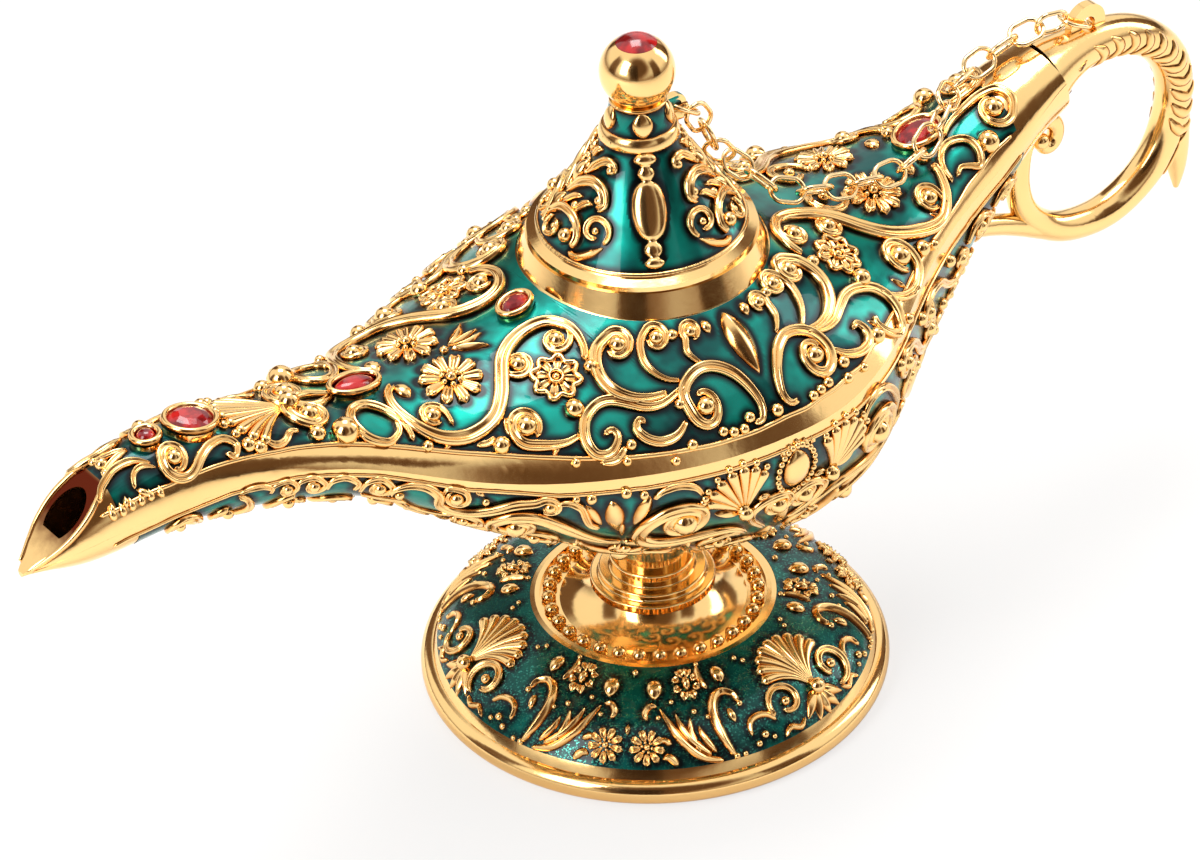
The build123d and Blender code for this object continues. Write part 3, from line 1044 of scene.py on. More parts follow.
class Relief:
    """Raised gold on one surface: strands, petals and beads, and where they stand."""

    root_depth = 0.35
    taper_share = 0.3
    plain_ends = (1.0, 1.0)

    def __init__(self, chart: Chart, gap: float = 0.38) -> None:
        """Start on a chart.

        Args:
            chart: coordinates on the surface.
            gap: distance between two cross-sections of a strand.
        """
        self.chart = chart
        self.gap = gap
        self.draft = MeshDraft("tone")
        self.beads: list[tuple[Array, float]] = []
        self.gold: list[tuple[Array, float]] = []

    def strand(
        self,
        points: Sequence[Point],
        width: Profile,
        height: Profile,
        section: Section = Section.ROUND,
        chart: Optional[Chart] = None,
        closed: bool = False,
        ends: Point = (0.55, 0.55),
    ) -> None:
        """Lay one raised strand.

        Args:
            points: where it runs, in chart coordinates.
            width: full width, or a function of the share along it.
            height: height, or a function of the share along it.
            section: its cross-section.
            chart: another chart than the relief's own.
            closed: the strand is a ring.
            ends: width at its two ends, as a share of the full width.
        """
        chart = chart or self.chart
        line = smooth_line(points, closed)
        rough = np.array([chart.point(u, v) for u, v in line])
        if closed:
            line = np.concatenate((line, line[:1]))
            rough = np.concatenate((rough, rough[:1]))
        gone = lengths_along(rough)
        rows = spread(gone, self.gap, closed)
        pairs = np.stack([np.interp(rows, np.arange(len(line)), line[:, k]) for k in (0, 1)], axis=1)
        places, normals = chart.spots(pairs)
        shares = np.linspace(0, 1, len(pairs), endpoint=not closed)
        wide = width(shares) if callable(width) else np.full(len(pairs), width)
        high = height(shares) if callable(height) else np.full(len(pairs), height)
        if not closed:
            wide, high = self._end(shares, gone[-1], wide, high, ends)
        self.sweep(places, normals, wide, high, section, closed)

    def _end(
        self, shares: Array, total: float, wide: Array, high: Array, ends: Point
    ) -> tuple[Array, Array]:
        """Narrow a strand towards its two ends and round them off.

        Args:
            shares: shares along it.
            total: its length.
            wide: full width at each place.
            high: height at each place.
            ends: width at its two ends, as a share.

        Returns:
            The new widths and heights.
        """
        first, last = ends
        taper = np.minimum(1.0, first + (1 - first) * shares / self.taper_share)
        taper *= np.minimum(1.0, last + (1 - last) * (1 - shares) / self.taper_share)
        wide = wide * taper
        high = high * (0.4 + 0.6 * taper)
        reach = np.maximum(1e-6, wide / 2)
        for away in (shares * total, (1 - shares) * total):
            near = np.clip(away / reach, 0.0, 1.0)
            rounding = np.sqrt(np.maximum(0.0, 1 - (1 - near) ** 2))
            wide = wide * np.maximum(rounding, 0.02)
            high = high * np.maximum(rounding, 0.05)
        return wide, high

    def sweep(
        self,
        places: Array,
        normals: Array,
        wide: Array,
        high: Array,
        section: Section = Section.ROUND,
        closed: bool = False,
    ) -> None:
        """Sweep a cross-section along places.

        Args:
            places: centre line on the surface.
            normals: outward normals there.
            wide: full width at each place.
            high: height at each place.
            section: cross-section.
            closed: the line is a ring.
        """
        if closed:
            ahead = np.roll(places, -1, axis=0) - np.roll(places, 1, axis=0)
        else:
            ahead = np.gradient(places, axis=0)
        side = unit(np.cross(unit(ahead), normals))
        shape = np.array(section.value)
        rows, columns = len(places), len(shape)
        across = shape[:, 0][None, :, None] * (wide / 2)[:, None, None] * side[:, None, :]
        rise = shape[:, 1][None, :] * high[:, None] - shape[:, 2][None, :] * self.root_depth
        points = places[:, None, :] + across + rise[:, :, None] * normals[:, None, :]
        # The share of height at each point, which the relief's gold finish turns into painted shade on
        # the lower flanks and, partly patina, at the foot.
        tones = np.repeat(np.minimum(1.0, shape[:, 1] * 1.15)[None, :], rows, axis=0)
        faces = grid_faces(rows, columns, closed, True)
        if not closed:
            faces.append(tuple(reversed(range(columns))))
            faces.append(tuple((rows - 1) * columns + j for j in range(columns)))
        self.draft.add(points.reshape(-1, 3), tones.reshape(-1), faces)
        self.gold.extend((place, float(width) / 2) for place, width in zip(places, wide))

    def bead(
        self, u: float, v: float, radius: float, chart: Optional[Chart] = None, rise: float = 0.3
    ) -> None:
        """Set one bead.

        Args:
            u: first coordinate.
            v: second coordinate.
            radius: its radius.
            chart: another chart than the relief's own.
            rise: how far its middle stands out, as a share of the radius.
        """
        chart = chart or self.chart
        place, normal = chart.point(u, v), chart.normal(u, v)
        self.beads.append((place + normal * radius * rise, radius))
        self.gold.append((place, radius * 0.95))

    def drop(
        self,
        u: float,
        v: float,
        length: float,
        width: float,
        turn: float,
        height: float = 0.7,
        section: Section = Section.ROUND,
        fullness: float = 0.5,
        chart: Optional[Chart] = None,
    ) -> None:
        """Lay one drop, petal or leaf.

        Args:
            u: first coordinate of its middle.
            v: second coordinate of its middle.
            length: its length.
            width: its full width.
            turn: its direction in degrees.
            height: its height.
            section: its cross-section.
            fullness: where along it, as a share, it is widest.
            chart: another chart than the relief's own.
        """
        local = TangentChart(chart or self.chart, u, v, turn)
        bulge = math.log(0.5) / math.log(fullness)
        power = 0.55 if section is Section.ROUND else 0.8

        def profile(shares: Array) -> Array:
            """Give the width along the drop."""
            return width * np.maximum(0.03, np.sin(np.pi * shares**bulge) ** power)

        def rise(shares: Array) -> Array:
            """Give the height along the drop."""
            return height * np.maximum(0.05, np.sin(np.pi * shares**bulge) ** 0.6)

        ends = ((-length / 2, 0.0), (length / 2, 0.0))
        self.strand(ends, profile, rise, section, local, ends=(1.0, 1.0))

    def scroll(self, strand: Strand) -> None:
        """Lay one scroll, whose ends may curl up round a ball.

        Args:
            strand: the scroll, which is laid a little fuller and higher than measured.
        """
        line = list(strand.points)
        if strand.start:
            line = self._curl(line[0], line[1], strand.start, strand.turns)[::-1] + line
            self.bead(strand.start[0], strand.start[1], strand.start[2] * 0.80)
        if strand.end:
            line = line + self._curl(line[-1], line[-2], strand.end, strand.turns)
            self.bead(strand.end[0], strand.end[1], strand.end[2] * 0.80)
        width, height = strand.width * FULLER, strand.height * HIGHER
        self.strand(line, width, height, strand.section, ends=strand.ends)

    @staticmethod
    def _curl(last: Point, before: Point, curl: Point3, turns: float) -> list[Point]:
        """Wind a curl on from the end of a line.

        Args:
            last: the line's last point.
            before: the point before it.
            curl: middle and radius.
            turns: how far round it goes.

        Returns:
            The points of the curl, outside first.
        """
        cx, cy, radius = curl
        dx, dy = last[0] - cx, last[1] - cy
        vx, vy = last[0] - before[0], last[1] - before[1]
        sense = 1.0 if dx * vy - dy * vx > 0 else -1.0
        begin = math.atan2(dy, dx)
        far = math.hypot(dx, dy)
        count = max(5, int(turns * 10))
        points = []
        for k in range(1, count + 1):
            t = k / count
            angle = begin + sense * FULL_TURN * turns * t
            reach = radius + (far - radius) * (1 - t) ** 4
            reach *= 1 - 0.12 * t
            x, y = polar(reach, angle)
            points.append((cx + x, cy + y))
        return points

    def flower(self, u: float, v: float, radius: float, petals: int = 10, turn: float = 0.0) -> None:
        """Lay a flower of grooved petals round a beaded middle.

        Args:
            u: first coordinate of its middle.
            v: second coordinate of its middle.
            radius: how far its petals reach.
            petals: how many.
            turn: direction of the first petal in degrees.
        """
        local = TangentChart(self.chart, u, v, turn)
        width = FULL_TURN * radius * 0.70 / petals * 1.06
        for angle in even_angles(petals):
            self.strand(
                (polar(radius * 0.26, angle), polar(radius, angle)),
                lambda shares: width * (0.42 + 0.58 * shares**0.7),
                lambda shares: 0.55 + 0.50 * shares,
                Section.GROOVED,
                local,
                ends=self.plain_ends,
            )
        self.bead(0.0, 0.0, radius * 0.17, local, 0.9)
        for angle in even_angles(6):
            self.bead(*polar(radius * 0.27, angle), radius * 0.09, local, 1.1)

    def rosette(self, u: float, v: float, radius: float, lobes: int = 8) -> None:
        """Lay a rosette: a wavy rim, a ring of small petals and a ringed middle.

        Args:
            u: first coordinate of its middle.
            v: second coordinate of its middle.
            radius: how far its rim reaches.
            lobes: how many waves and petals it has.
        """
        local = TangentChart(self.chart, u, v)
        rim = [
            polar(radius * (0.88 + 0.12 * math.cos(lobes * angle)), angle)
            for angle in even_angles(lobes * 6)
        ]
        self.strand(rim, radius * 0.24, 0.75, Section.ROUND, local, closed=True)
        width = FULL_TURN * radius * 0.52 / lobes
        for angle in even_angles(lobes):
            x, y = polar(radius, angle)
            self.strand(
                ((x * 0.26, y * 0.26), (x * 0.82, y * 0.82)),
                lambda shares: width * (0.5 + 0.6 * shares),
                lambda shares: 0.62 - 0.12 * shares,
                Section.DISHED,
                local,
                ends=self.plain_ends,
            )
        ring = [polar(radius * 0.27, a) for a in np.linspace(0, FULL_TURN, 12, endpoint=False)]
        self.strand(ring, radius * 0.16, 0.95, Section.ROUND, local, closed=True)
        self.bead(0.0, 0.0, radius * 0.16, local, 0.7)

    def fan(
        self,
        u: float,
        v: float,
        radius: float,
        turn: float,
        ribs: int,
        opening: float,
        tips: float,
        curve: float,
    ) -> None:
        """Lay a shell of ribs that spread from one place.

        Args:
            u: first coordinate of its root.
            v: second coordinate of its root.
            radius: length of the ribs.
            turn: direction of the middle rib in degrees.
            ribs: how many.
            opening: angle between the outer ribs in degrees.
            tips: radius of the bead at each rib's end, or nought.
            curve: how much the outer ribs bend outwards.
        """
        local = TangentChart(self.chart, u, v, turn)
        step = math.radians(opening) / (ribs - 1)
        width = max(0.5, step * radius * 0.98)
        for k in range(ribs):
            bent = (k - (ribs - 1) / 2) * step
            reach = radius * (1.0 - 0.16 * (abs(bent) / math.radians(opening / 2)) ** 2)
            self.strand(
                [
                    polar(reach * share, bent * (1 - curve + curve * share))
                    for share in (0.1, 0.4, 0.7, 1.0)
                ],
                lambda shares: width * (0.16 + 0.84 * shares**1.1),
                lambda shares: 0.5 + 0.45 * shares,
                Section.ROUND,
                local,
                ends=self.plain_ends,
            )
            if tips:
                self.bead(*polar(reach + tips * 0.7, bent), tips, local)
        self.bead(0.0, 0.0, radius * 0.13, local, 0.6)


class BeadMaker:
    """Geometry nodes that set a small ball on each point of a mesh."""

    sides = 12
    rings = 7

    def __init__(self) -> None:
        """Build the node group."""
        group = bpy.data.node_groups.new("bead_maker", "GeometryNodeTree")
        face = group.interface
        face.new_socket("Points", in_out="INPUT", socket_type="NodeSocketGeometry")
        self.finish_input = face.new_socket(
            "Finish", in_out="INPUT", socket_type="NodeSocketMaterial"
        ).identifier
        self.round_input = face.new_socket(
            "Sides", in_out="INPUT", socket_type="NodeSocketInt"
        ).identifier
        face.new_socket("Beads", in_out="OUTPUT", socket_type="NodeSocketGeometry")
        self.group = group
        nodes = group.nodes
        entry = nodes.new("NodeGroupInput")
        leave = nodes.new("NodeGroupOutput")
        ball = nodes.new("GeometryNodeMeshUVSphere")
        ball.inputs["Rings"].default_value = self.rings
        ball.inputs["Radius"].default_value = 1.0
        size = nodes.new("GeometryNodeInputNamedAttribute")
        size.data_type = "FLOAT"
        size.inputs["Name"].default_value = "radius"
        setter = nodes.new("GeometryNodeInstanceOnPoints")
        realize = nodes.new("GeometryNodeRealizeInstances")
        smooth = nodes.new("GeometryNodeSetShadeSmooth")
        finish = nodes.new("GeometryNodeSetMaterial")
        for source, output, target, slot in (
            (entry, "Sides", ball, "Segments"),
            (entry, "Points", setter, "Points"),
            (ball, "Mesh", setter, "Instance"),
            (size, "Attribute", setter, "Scale"),
            (setter, "Instances", realize, "Geometry"),
            (realize, "Geometry", smooth, "Geometry"),
            (smooth, "Geometry", finish, "Geometry"),
            (entry, "Finish", finish, "Material"),
            (finish, "Geometry", leave, "Beads"),
        ):
            group.links.new(source.outputs[output], target.inputs[slot])

    def make(
        self, name: str, beads: Gold, material: bpy.types.Material, both: bool = False
    ) -> bpy.types.Object:
        """Make one piece of all the beads.

        Args:
            name: name of the piece.
            beads: middle and radius of each, in millimetres.
            material: its finish.
            both: also set the mirror image on the far side.

        Returns:
            The new object.
        """
        places = np.array([place for place, _ in beads])
        sizes = np.array([size for _, size in beads])
        if both:
            places = np.concatenate((places, places * MIRROR))
            sizes = np.concatenate((sizes, sizes))
        mesh = bpy.data.meshes.new(name + "_points")
        mesh.from_pydata((places * MM).tolist(), [], [])
        layer = mesh.attributes.new("radius", "FLOAT", "POINT")
        layer.data.foreach_set("value", (sizes * MM).astype(np.float32))
        holder = show(name + "_points", mesh)
        modifier = holder.modifiers.new("beads", "NODES")
        modifier.node_group = self.group
        modifier[self.finish_input] = material
        modifier[self.round_input] = self.sides
        bpy.context.view_layer.update()
        ready = holder.evaluated_get(bpy.context.evaluated_depsgraph_get())
        plain = bpy.data.meshes.new_from_object(ready)
        plain.name = name
        bpy.data.objects.remove(holder)
        return show(name, plain)


@dataclass
class Filler:
    """Small curls wherever the raised gold leaves a wide patch bare."""

    relief: Relief
    curl: float = 1.75
    most: int = 120
    wide: float = 0.50
    farthest: float = 4.5
    largest: float = 3.4
    winding: float = 0.95
    looked_at: int = 4000
    batch: int = 500

    def fill(
        self, pairs: Sequence[Point], wall: Callable[[Array], float], others: Gold = ()
    ) -> None:
        """Set curls into the widest bare patches, one after another.

        Args:
            pairs: coordinates to try.
            wall: gives how far a place is from the patch's border.
            others: gold of other reliefs nearby.
        """
        chart = self.relief.chart
        places = np.array([chart.point(u, v) for u, v in pairs])
        free = np.array([min(self.farthest, wall(place)) for place in places])
        free = self.shrink(free, places, list(self.relief.gold) + list(others))
        for number in range(self.most):
            best = int(np.argmax(free))
            if free[best] < self.curl:
                break
            before = len(self.relief.gold)
            self.motif(pairs[best], float(free[best]), number)
            free = self.shrink(free, places, self.relief.gold[before:])
            free[best] = 0.0

    def shrink(self, free: Array, places: Array, gold: Gold) -> Array:
        """Lower the free distances for more gold.

        Args:
            free: distance to the nearest gold at each place.
            places: the places.
            gold: place and half width of each bit of new gold.

        Returns:
            The new distances.
        """
        for first in range(0, len(gold), self.batch):
            part = gold[first : first + self.batch]
            spots = np.array([place for place, _ in part])
            halves = np.array([half for _, half in part])
            gaps = np.sqrt(((places[:, None, :] - spots[None]) ** 2).sum(axis=2)) - halves[None]
            free = np.minimum(free, gaps.min(axis=1))
        return free

    def motif(self, pair: Point, reach: float, number: int) -> None:
        """Set one motif.

        Args:
            pair: where.
            reach: how far the nearest gold is.
            number: how many motifs came before, which picks its hand.
        """
        relief = self.relief
        local = TangentChart(relief.chart, *pair)
        spots = [place for place, _ in relief.gold]
        spots = spots[:: max(1, len(spots) // self.looked_at)]
        nearest = min(spots, key=lambda spot: np.linalg.norm(spot - local.middle))
        off = nearest - local.middle
        begin = math.atan2(off @ local.across, off @ local.along)
        sense = 1.0 if number % 2 else -1.0
        size = min(reach, self.largest)
        points = []
        for t in np.linspace(0.0, 1.0, 14):
            angle = begin + sense * FULL_TURN * self.winding * t
            points.append(polar(size * (1.06 - 0.60 * t), angle))
        width = min(1.35, self.wide * size)
        relief.strand(points, width, 0.85, Section.GROOVED, local, ends=(0.6, 0.7))
        relief.bead(0.0, 0.0, min(0.95, 0.26 * size), local, 0.5)


class EnamelGround:
    """A thin enamel skin over part of a surface, which knows how far the gold is."""

    lift = 0.07
    farthest = 3.0

    def __init__(self, gold: Gold) -> None:
        """Gather where the gold stands.

        Args:
            gold: place and half width of each bit of gold.
        """
        self.halves = [half for _, half in gold]
        self.tree = KDTree(len(gold))
        for index, (place, _) in enumerate(gold):
            self.tree.insert(Vector(place), index)
        self.tree.balance()

    def away(self, place: Array) -> float:
        """Give the distance to the nearest gold.

        Args:
            place: a place on the surface.

        Returns:
            The distance, from nought to the farthest that counts.
        """
        found = self.tree.find_n(Vector(place), 5)
        gap = min((gap - self.halves[index] for _, index, gap in found), default=self.farthest)
        return min(self.farthest, max(0.0, gap))

    def build(
        self, name: str, places: Array, normals: Array, material: bpy.types.Material, wrap: bool
    ) -> bpy.types.Object:
        """Make the skin.

        Args:
            name: name of the piece.
            places: rows of places on the surface.
            normals: outward normals there.
            material: its finish.
            wrap: each row comes back to its start.

        Returns:
            The new object.
        """
        rows, columns = places.shape[:2]
        # The distance to the gold at each place, which the enamel finish turns into pooled enamel and
        # painted shade near the gold.
        pool = np.array([[self.away(place) for place in row] for row in places])
        points = (places + normals * self.lift).reshape(-1, 3)
        faces = grid_faces(rows, columns, False, wrap)
        width = columns if wrap else columns - 1
        probe = faces[(rows // 2) * width + columns // 2 - (0 if wrap else 1)]
        turn = np.cross(points[probe[1]] - points[probe[0]], points[probe[3]] - points[probe[0]])
        if turn @ normals[rows // 2, columns // 2] < 0:
            faces = [tuple(reversed(face)) for face in faces]
        draft = MeshDraft("pool")
        draft.add(points, pool.reshape(-1), faces)
        return draft.build(name, material)


# The finishes of this lamp
@dataclass
class Palette:
    """Every finish on the lamp, built once."""

    gold: bpy.types.Material = field(init=False)
    shell: bpy.types.Material = field(init=False)
    relief: bpy.types.Material = field(init=False)
    wire: bpy.types.Material = field(init=False)
    enamel: bpy.types.Material = field(init=False)
    foot_enamel: bpy.types.Material = field(init=False)
    stone: bpy.types.Material = field(init=False)
    cut_stone: bpy.types.Material = field(init=False)
    steel: bpy.types.Material = field(init=False)

    def __post_init__(self) -> None:
        """Build the materials."""
        self.gold = GoldFinish("gold_plate").material()
        self.shell = GoldFinish("gold_shell", darkened_mouth=True).material()
        # The relief's gold gets painted shade on its lower flanks and, partly patina, at its foot.
        self.relief = GoldFinish("gold_relief", roughness=0.16, painted_relief_shade=True).material()
        self.wire = GoldFinish("pale_gold_wire", colour=(1.0, 0.71, 0.36), roughness=0.16).material()
        self.enamel = EnamelFinish("green_enamel").material()
        self.foot_enamel = EnamelFinish(
            "glitter_enamel",
            bright=(0.0, 0.13, 0.105),
            middle=(0.0, 0.07, 0.062),
            dark=(0.0, 0.014, 0.018),
            glitter=0.3,
        ).material()
        self.stone = StoneFinish("red_stone").material()
        self.cut_stone = StoneFinish("red_cut_stone", colour=(0.50, 0.01, 0.01)).material()
        self.steel = SteelFinish("zinc_steel").material()


def dress(node: str, material: bpy.types.Material) -> None:
    """Give a CAD node its finish.

    Args:
        node: name of the node.
        material: the finish.
    """
    mesh = frame["nodes"][node].data
    mesh.materials.clear()
    mesh.materials.append(material)


def carry(piece: bpy.types.Object, body: str) -> None:
    """Let a piece ride on a body and report it.

    Args:
        piece: the new piece.
        body: the body that it moves with.
    """
    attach(piece, body)
    log.info("%s: %d faces on %s", piece.name, len(piece.data.polygons), body)


@dataclass
class Workshop:
    """The finishes and the bead maker, and how a relief and its ground become pieces."""

    palette: Palette
    maker: BeadMaker

    def gold(
        self, relief: Relief, name: str, beads: str = "", body: str = BODY, both: bool = False
    ) -> None:
        """Make a relief's gold, and its beads where they have a name.

        Args:
            relief: the finished relief.
            name: name of the gold piece.
            beads: name of the piece of beads, or nothing.
            body: the body they ride on.
            both: also make the mirror image on the far side.
        """
        carry(relief.draft.build(name, self.palette.relief, both), body)
        if beads:
            piece = self.maker.make(beads, relief.beads, self.palette.gold, both)
            carry(piece, body)

    def enamel(
        self,
        ground: EnamelGround,
        name: str,
        grid: Array,
        rough: Sequence,
        body: str = BODY,
        wrap: bool = False,
        glitter: bool = False,
    ) -> None:
        """Make one sheet of enamel.

        Args:
            ground: the ground, which knows the gold.
            name: name of the piece.
            grid: rows of places on the surface.
            rough: a rough outward direction, one for all or one for each place.
            body: the body it rides on.
            wrap: each row comes back to its start.
            glitter: take the foot's glittering enamel.
        """
        finish = self.palette.foot_enamel if glitter else self.palette.enamel
        ways = grid_normals(grid, rough, wrap)
        carry(ground.build(name, grid, ways, finish, wrap), body)


EDGE_STATIONS: tuple[Point, ...] = (
    (-96.0, 4.6), (-92.0, 5.4), (-84.0, 6.0), (-76.0, 6.5), (-70.0, 7.0), (-64.0, 7.6),
    (-58.0, 9.0), (-52.0, 11.2), (-46.0, 13.8), (-40.0, 16.8), (-34.0, 20.2), (-28.0, 23.6),
    (-22.0, 26.6), (-16.0, 29.0), (-10.0, 30.8), (-4.0, 31.8), (4.0, 32.0), (10.0, 31.2),
    (16.0, 29.6), (22.0, 26.4), (28.0, 22.8), (34.0, 18.8), (40.0, 15.2), (46.0, 12.4),
    (52.0, 9.9), (58.0, 8.2), (64.0, 7.4),
)


def relief_edge(x: float) -> float:
    """Give how far from the middle the enamel of the upper shell ends."""
    xs, edges = zip(*EDGE_STATIONS)
    return float(np.interp(x, xs, edges))


# The sub-assemblies
@dataclass
class Shoulder:
    """Raised gold and enamel of the upper shell, mirrored about the lamp's middle."""

    shop: Workshop
    chart: Chart
    strands: tuple[Strand, ...] = (
        # front half: the long S over the flower, with its curls
        Strand((
            (-45.2, -2.0), (-47.0, -3.4), (-47.9, -6.2), (-47.2, -9.6), (-45.2, -12.3), (-42.2, -13.8),
            (-39.0, -14.1), (-36.0, -13.4), (-33.6, -11.5), (-31.6, -9.0), (-29.6, -6.6), (-27.0, -5.1),
            (-24.0, -4.6), (-21.4, -5.3), (-19.8, -7.2), (-19.2, -9.6), (-19.6, -12.0), (-20.6, -13.8),
        ), width=1.75, height=1.05),
        Strand(((-42.0, -11.8), (-41.9, -9.6)), end=(-43.8, -9.4, 1.55), width=0.8, height=0.7),
        Strand(((-30.9, -7.6), (-30.6, -9.2)), end=(-28.5, -8.8, 1.6), width=0.9, height=0.75),
        Strand(((-19.7, -8.0), (-19.9, -9.4)), end=(-21.9, -8.9, 1.6), width=0.9, height=0.75),
        # front half: by the seam
        Strand((
            (-27.2, -21.2), (-29.6, -20.9), (-32.2, -19.8), (-34.6, -18.4),
        ), end=(-33.2, -16.7, 2.0), width=1.3),
        Strand(((-34.8, -14.2), (-35.6, -15.6), (-35.4, -17.6)), width=0.8, height=0.6),
        Strand(((-40.8, -15.4), (-39.0, -15.9), (-37.6, -15.6)), width=0.8, height=0.55),
        Strand((
            (-24.4, -22.7), (-23.0, -22.9), (-22.9, -24.0), (-24.6, -24.7), (-26.6, -23.9),
            (-27.0, -22.0), (-25.6, -20.1), (-23.2, -19.4), (-21.2, -19.9), (-19.3, -21.4),
            (-17.4, -23.1), (-15.2, -24.0), (-12.6, -24.0), (-11.0, -23.7),
        ), width=1.35),
        Strand((
            (-12.1, -26.2), (-11.9, -24.6), (-10.4, -23.6), (-8.3, -23.3), (-6.2, -23.9), (-4.2, -25.5),
            (-2.9, -27.7), (-2.4, -29.8), (-3.1, -31.0), (-4.4, -31.0),
        ), start=(-9.9, -27.0, 1.75), width=1.4),
        Strand((
            (-13.2, -27.0), (-15.4, -27.6), (-17.8, -27.1), (-19.5, -25.8), (-20.0, -24.4),
            (-19.0, -23.8), (-18.5, -24.6),
        ), width=1.2),
        Strand(((-26.6, -24.8), (-24.4, -25.6), (-22.4, -25.2)), width=1.0, height=0.6),
        # front half: round the collar
        Strand((
            (-16.4, -13.2), (-18.4, -13.6), (-20.0, -15.4), (-20.4, -17.6), (-19.8, -19.6),
            (-18.2, -21.4), (-16.0, -22.7), (-13.6, -23.4),
        ), start=(-15.8, -14.9, 1.65), width=1.55, height=1.0),
        Strand((
            (-11.0, -15.6), (-12.9, -16.4), (-14.1, -18.2), (-14.0, -20.2), (-12.9, -22.0),
            (-11.2, -23.2),
        ), start=(-10.9, -17.3, 1.4), width=0.95, height=0.8),
        Strand((
            (-7.6, -19.6), (-8.3, -20.8), (-7.9, -22.2), (-6.9, -23.4),
        ), start=(-6.3, -19.1, 1.2), width=0.8, height=0.7),
        # tail half: round the collar
        Strand((
            (6.5, -20.2), (6.6, -21.6), (6.0, -22.8), (5.2, -23.8),
        ), start=(5.3, -19.6, 1.2), width=0.8, height=0.7),
        Strand((
            (9.6, -16.2), (11.2, -17.2), (11.8, -19.0), (11.4, -21.2), (10.4, -23.0), (9.4, -24.1),
        ), start=(9.3, -17.7, 1.4), width=0.95, height=0.8),
        Strand((
            (14.2, -14.6), (15.9, -15.2), (17.2, -17.0), (17.4, -19.2), (16.4, -21.4), (14.6, -23.2),
            (12.2, -24.3), (9.8, -24.6),
        ), start=(13.3, -16.2, 1.65), width=1.55, height=1.0),
        # tail half: by the seam
        Strand((
            (11.0, -28.6), (11.6, -27.0), (10.6, -25.2), (8.6, -24.3), (6.2, -24.3), (4.0, -25.5),
            (2.2, -27.6), (1.3, -29.8), (2.0, -31.0), (3.4, -31.0),
        ), start=(8.9, -27.5, 1.75), width=1.4),
        Strand((
            (9.8, -24.5), (12.6, -24.9), (15.2, -24.2), (17.4, -22.6), (19.6, -21.1), (22.2, -20.4),
            (24.8, -20.5), (26.7, -21.8), (27.1, -23.8), (25.9, -25.7), (23.8, -26.3), (22.2, -25.5),
            (22.3, -24.2),
        ), width=1.35),
        Strand((
            (12.2, -27.4), (14.2, -28.3), (16.6, -28.3), (18.7, -27.4), (19.3, -26.0), (18.4, -25.0),
            (17.5, -25.7),
        ), width=1.2),
        Strand((
            (25.4, -21.2), (28.4, -21.8), (31.4, -21.1), (34.0, -19.5), (35.7, -17.6),
        ), end=(33.3, -16.5, 2.1), width=1.3),
        # tail half: the long S under the flower, with its curls
        Strand((
            (17.6, -14.0), (16.7, -11.6), (16.9, -9.0), (18.4, -7.0), (20.8, -6.1), (23.6, -6.3),
            (26.2, -7.2), (28.4, -8.8), (30.8, -11.0), (33.8, -12.8), (37.6, -13.5), (41.6, -13.3),
            (45.0, -12.2), (47.4, -10.0), (48.5, -7.4), (48.6, -5.4),
        ), width=1.75, height=1.05),
        Strand(((17.6, -8.4), (17.3, -10.0)), end=(19.2, -10.0, 1.6), width=0.9, height=0.75),
        Strand(((27.6, -8.6), (27.5, -10.0)), end=(25.8, -9.6, 1.6), width=0.9, height=0.75),
        Strand(((46.6, -11.2), (46.4, -9.6)), end=(44.4, -9.7, 1.7), width=0.9, height=0.8),
        # tail tip
        Strand((
            (49.6, -9.0), (49.6, -6.8), (50.9, -4.9), (53.0, -4.2), (55.2, -5.1), (56.0, -7.0),
            (55.0, -8.6), (53.4, -8.2), (52.0, -7.9), (50.8, -8.6),
        ), width=1.0),
        Strand((
            (53.0, -2.9), (55.2, -1.7), (58.2, -1.1), (61.6, -1.0), (64.0, -2.0), (64.7, -4.2),
            (63.4, -6.0),
        ), end=(61.6, -4.0, 2.0), width=1.15, turns=0.7),
        # spout
        Strand((
            (-52.6, -0.9), (-54.8, 0.5), (-57.4, 1.5), (-60.0, 1.1), (-62.2, -0.8), (-62.4, -3.2),
            (-60.8, -5.0),
        ), end=(-59.8, -3.0, 1.9), width=1.3, height=1.0, ends=(0.3, 0.6)),
        Strand((
            (-48.6, -11.6), (-48.4, -9.0), (-49.4, -6.0), (-51.4, -4.0), (-53.8, -4.4), (-55.2, -6.6),
            (-54.6, -9.4), (-52.2, -10.8), (-49.8, -9.8), (-49.0, -8.0),
        ), width=1.2),
        Strand((
            (-63.0, -5.4), (-64.4, -5.2), (-66.2, -6.4), (-68.0, -6.4), (-69.0, -4.8),
        ), width=0.9, height=0.6),
        Strand((
            (-84.2, -3.8), (-84.2, -5.0), (-82.9, -5.9), (-80.8, -6.0), (-78.6, -5.0), (-76.4, -4.2),
            (-74.4, -4.2), (-73.3, -5.2), (-74.2, -6.3), (-75.3, -5.7),
        ), start=(-82.4, -4.0, 1.5), width=1.2),
        Strand((
            (-94.4, -3.9), (-92.8, -2.7), (-90.4, -1.9), (-87.8, -2.2), (-85.6, -3.5),
        ), width=1.0, ends=(0.6, 0.2)),
        Strand((
            (-89.4, -4.9), (-88.6, -3.6), (-87.0, -3.3), (-85.2, -4.2),
        ), width=0.7, height=0.6, ends=(0.6, 0.2)),
        Strand((
            (-92.2, -1.7), (-91.0, -1.1), (-89.0, -0.5), (-87.0, -0.2),
        ), width=0.8, height=0.6, ends=(0.8, 0.2)),
    )
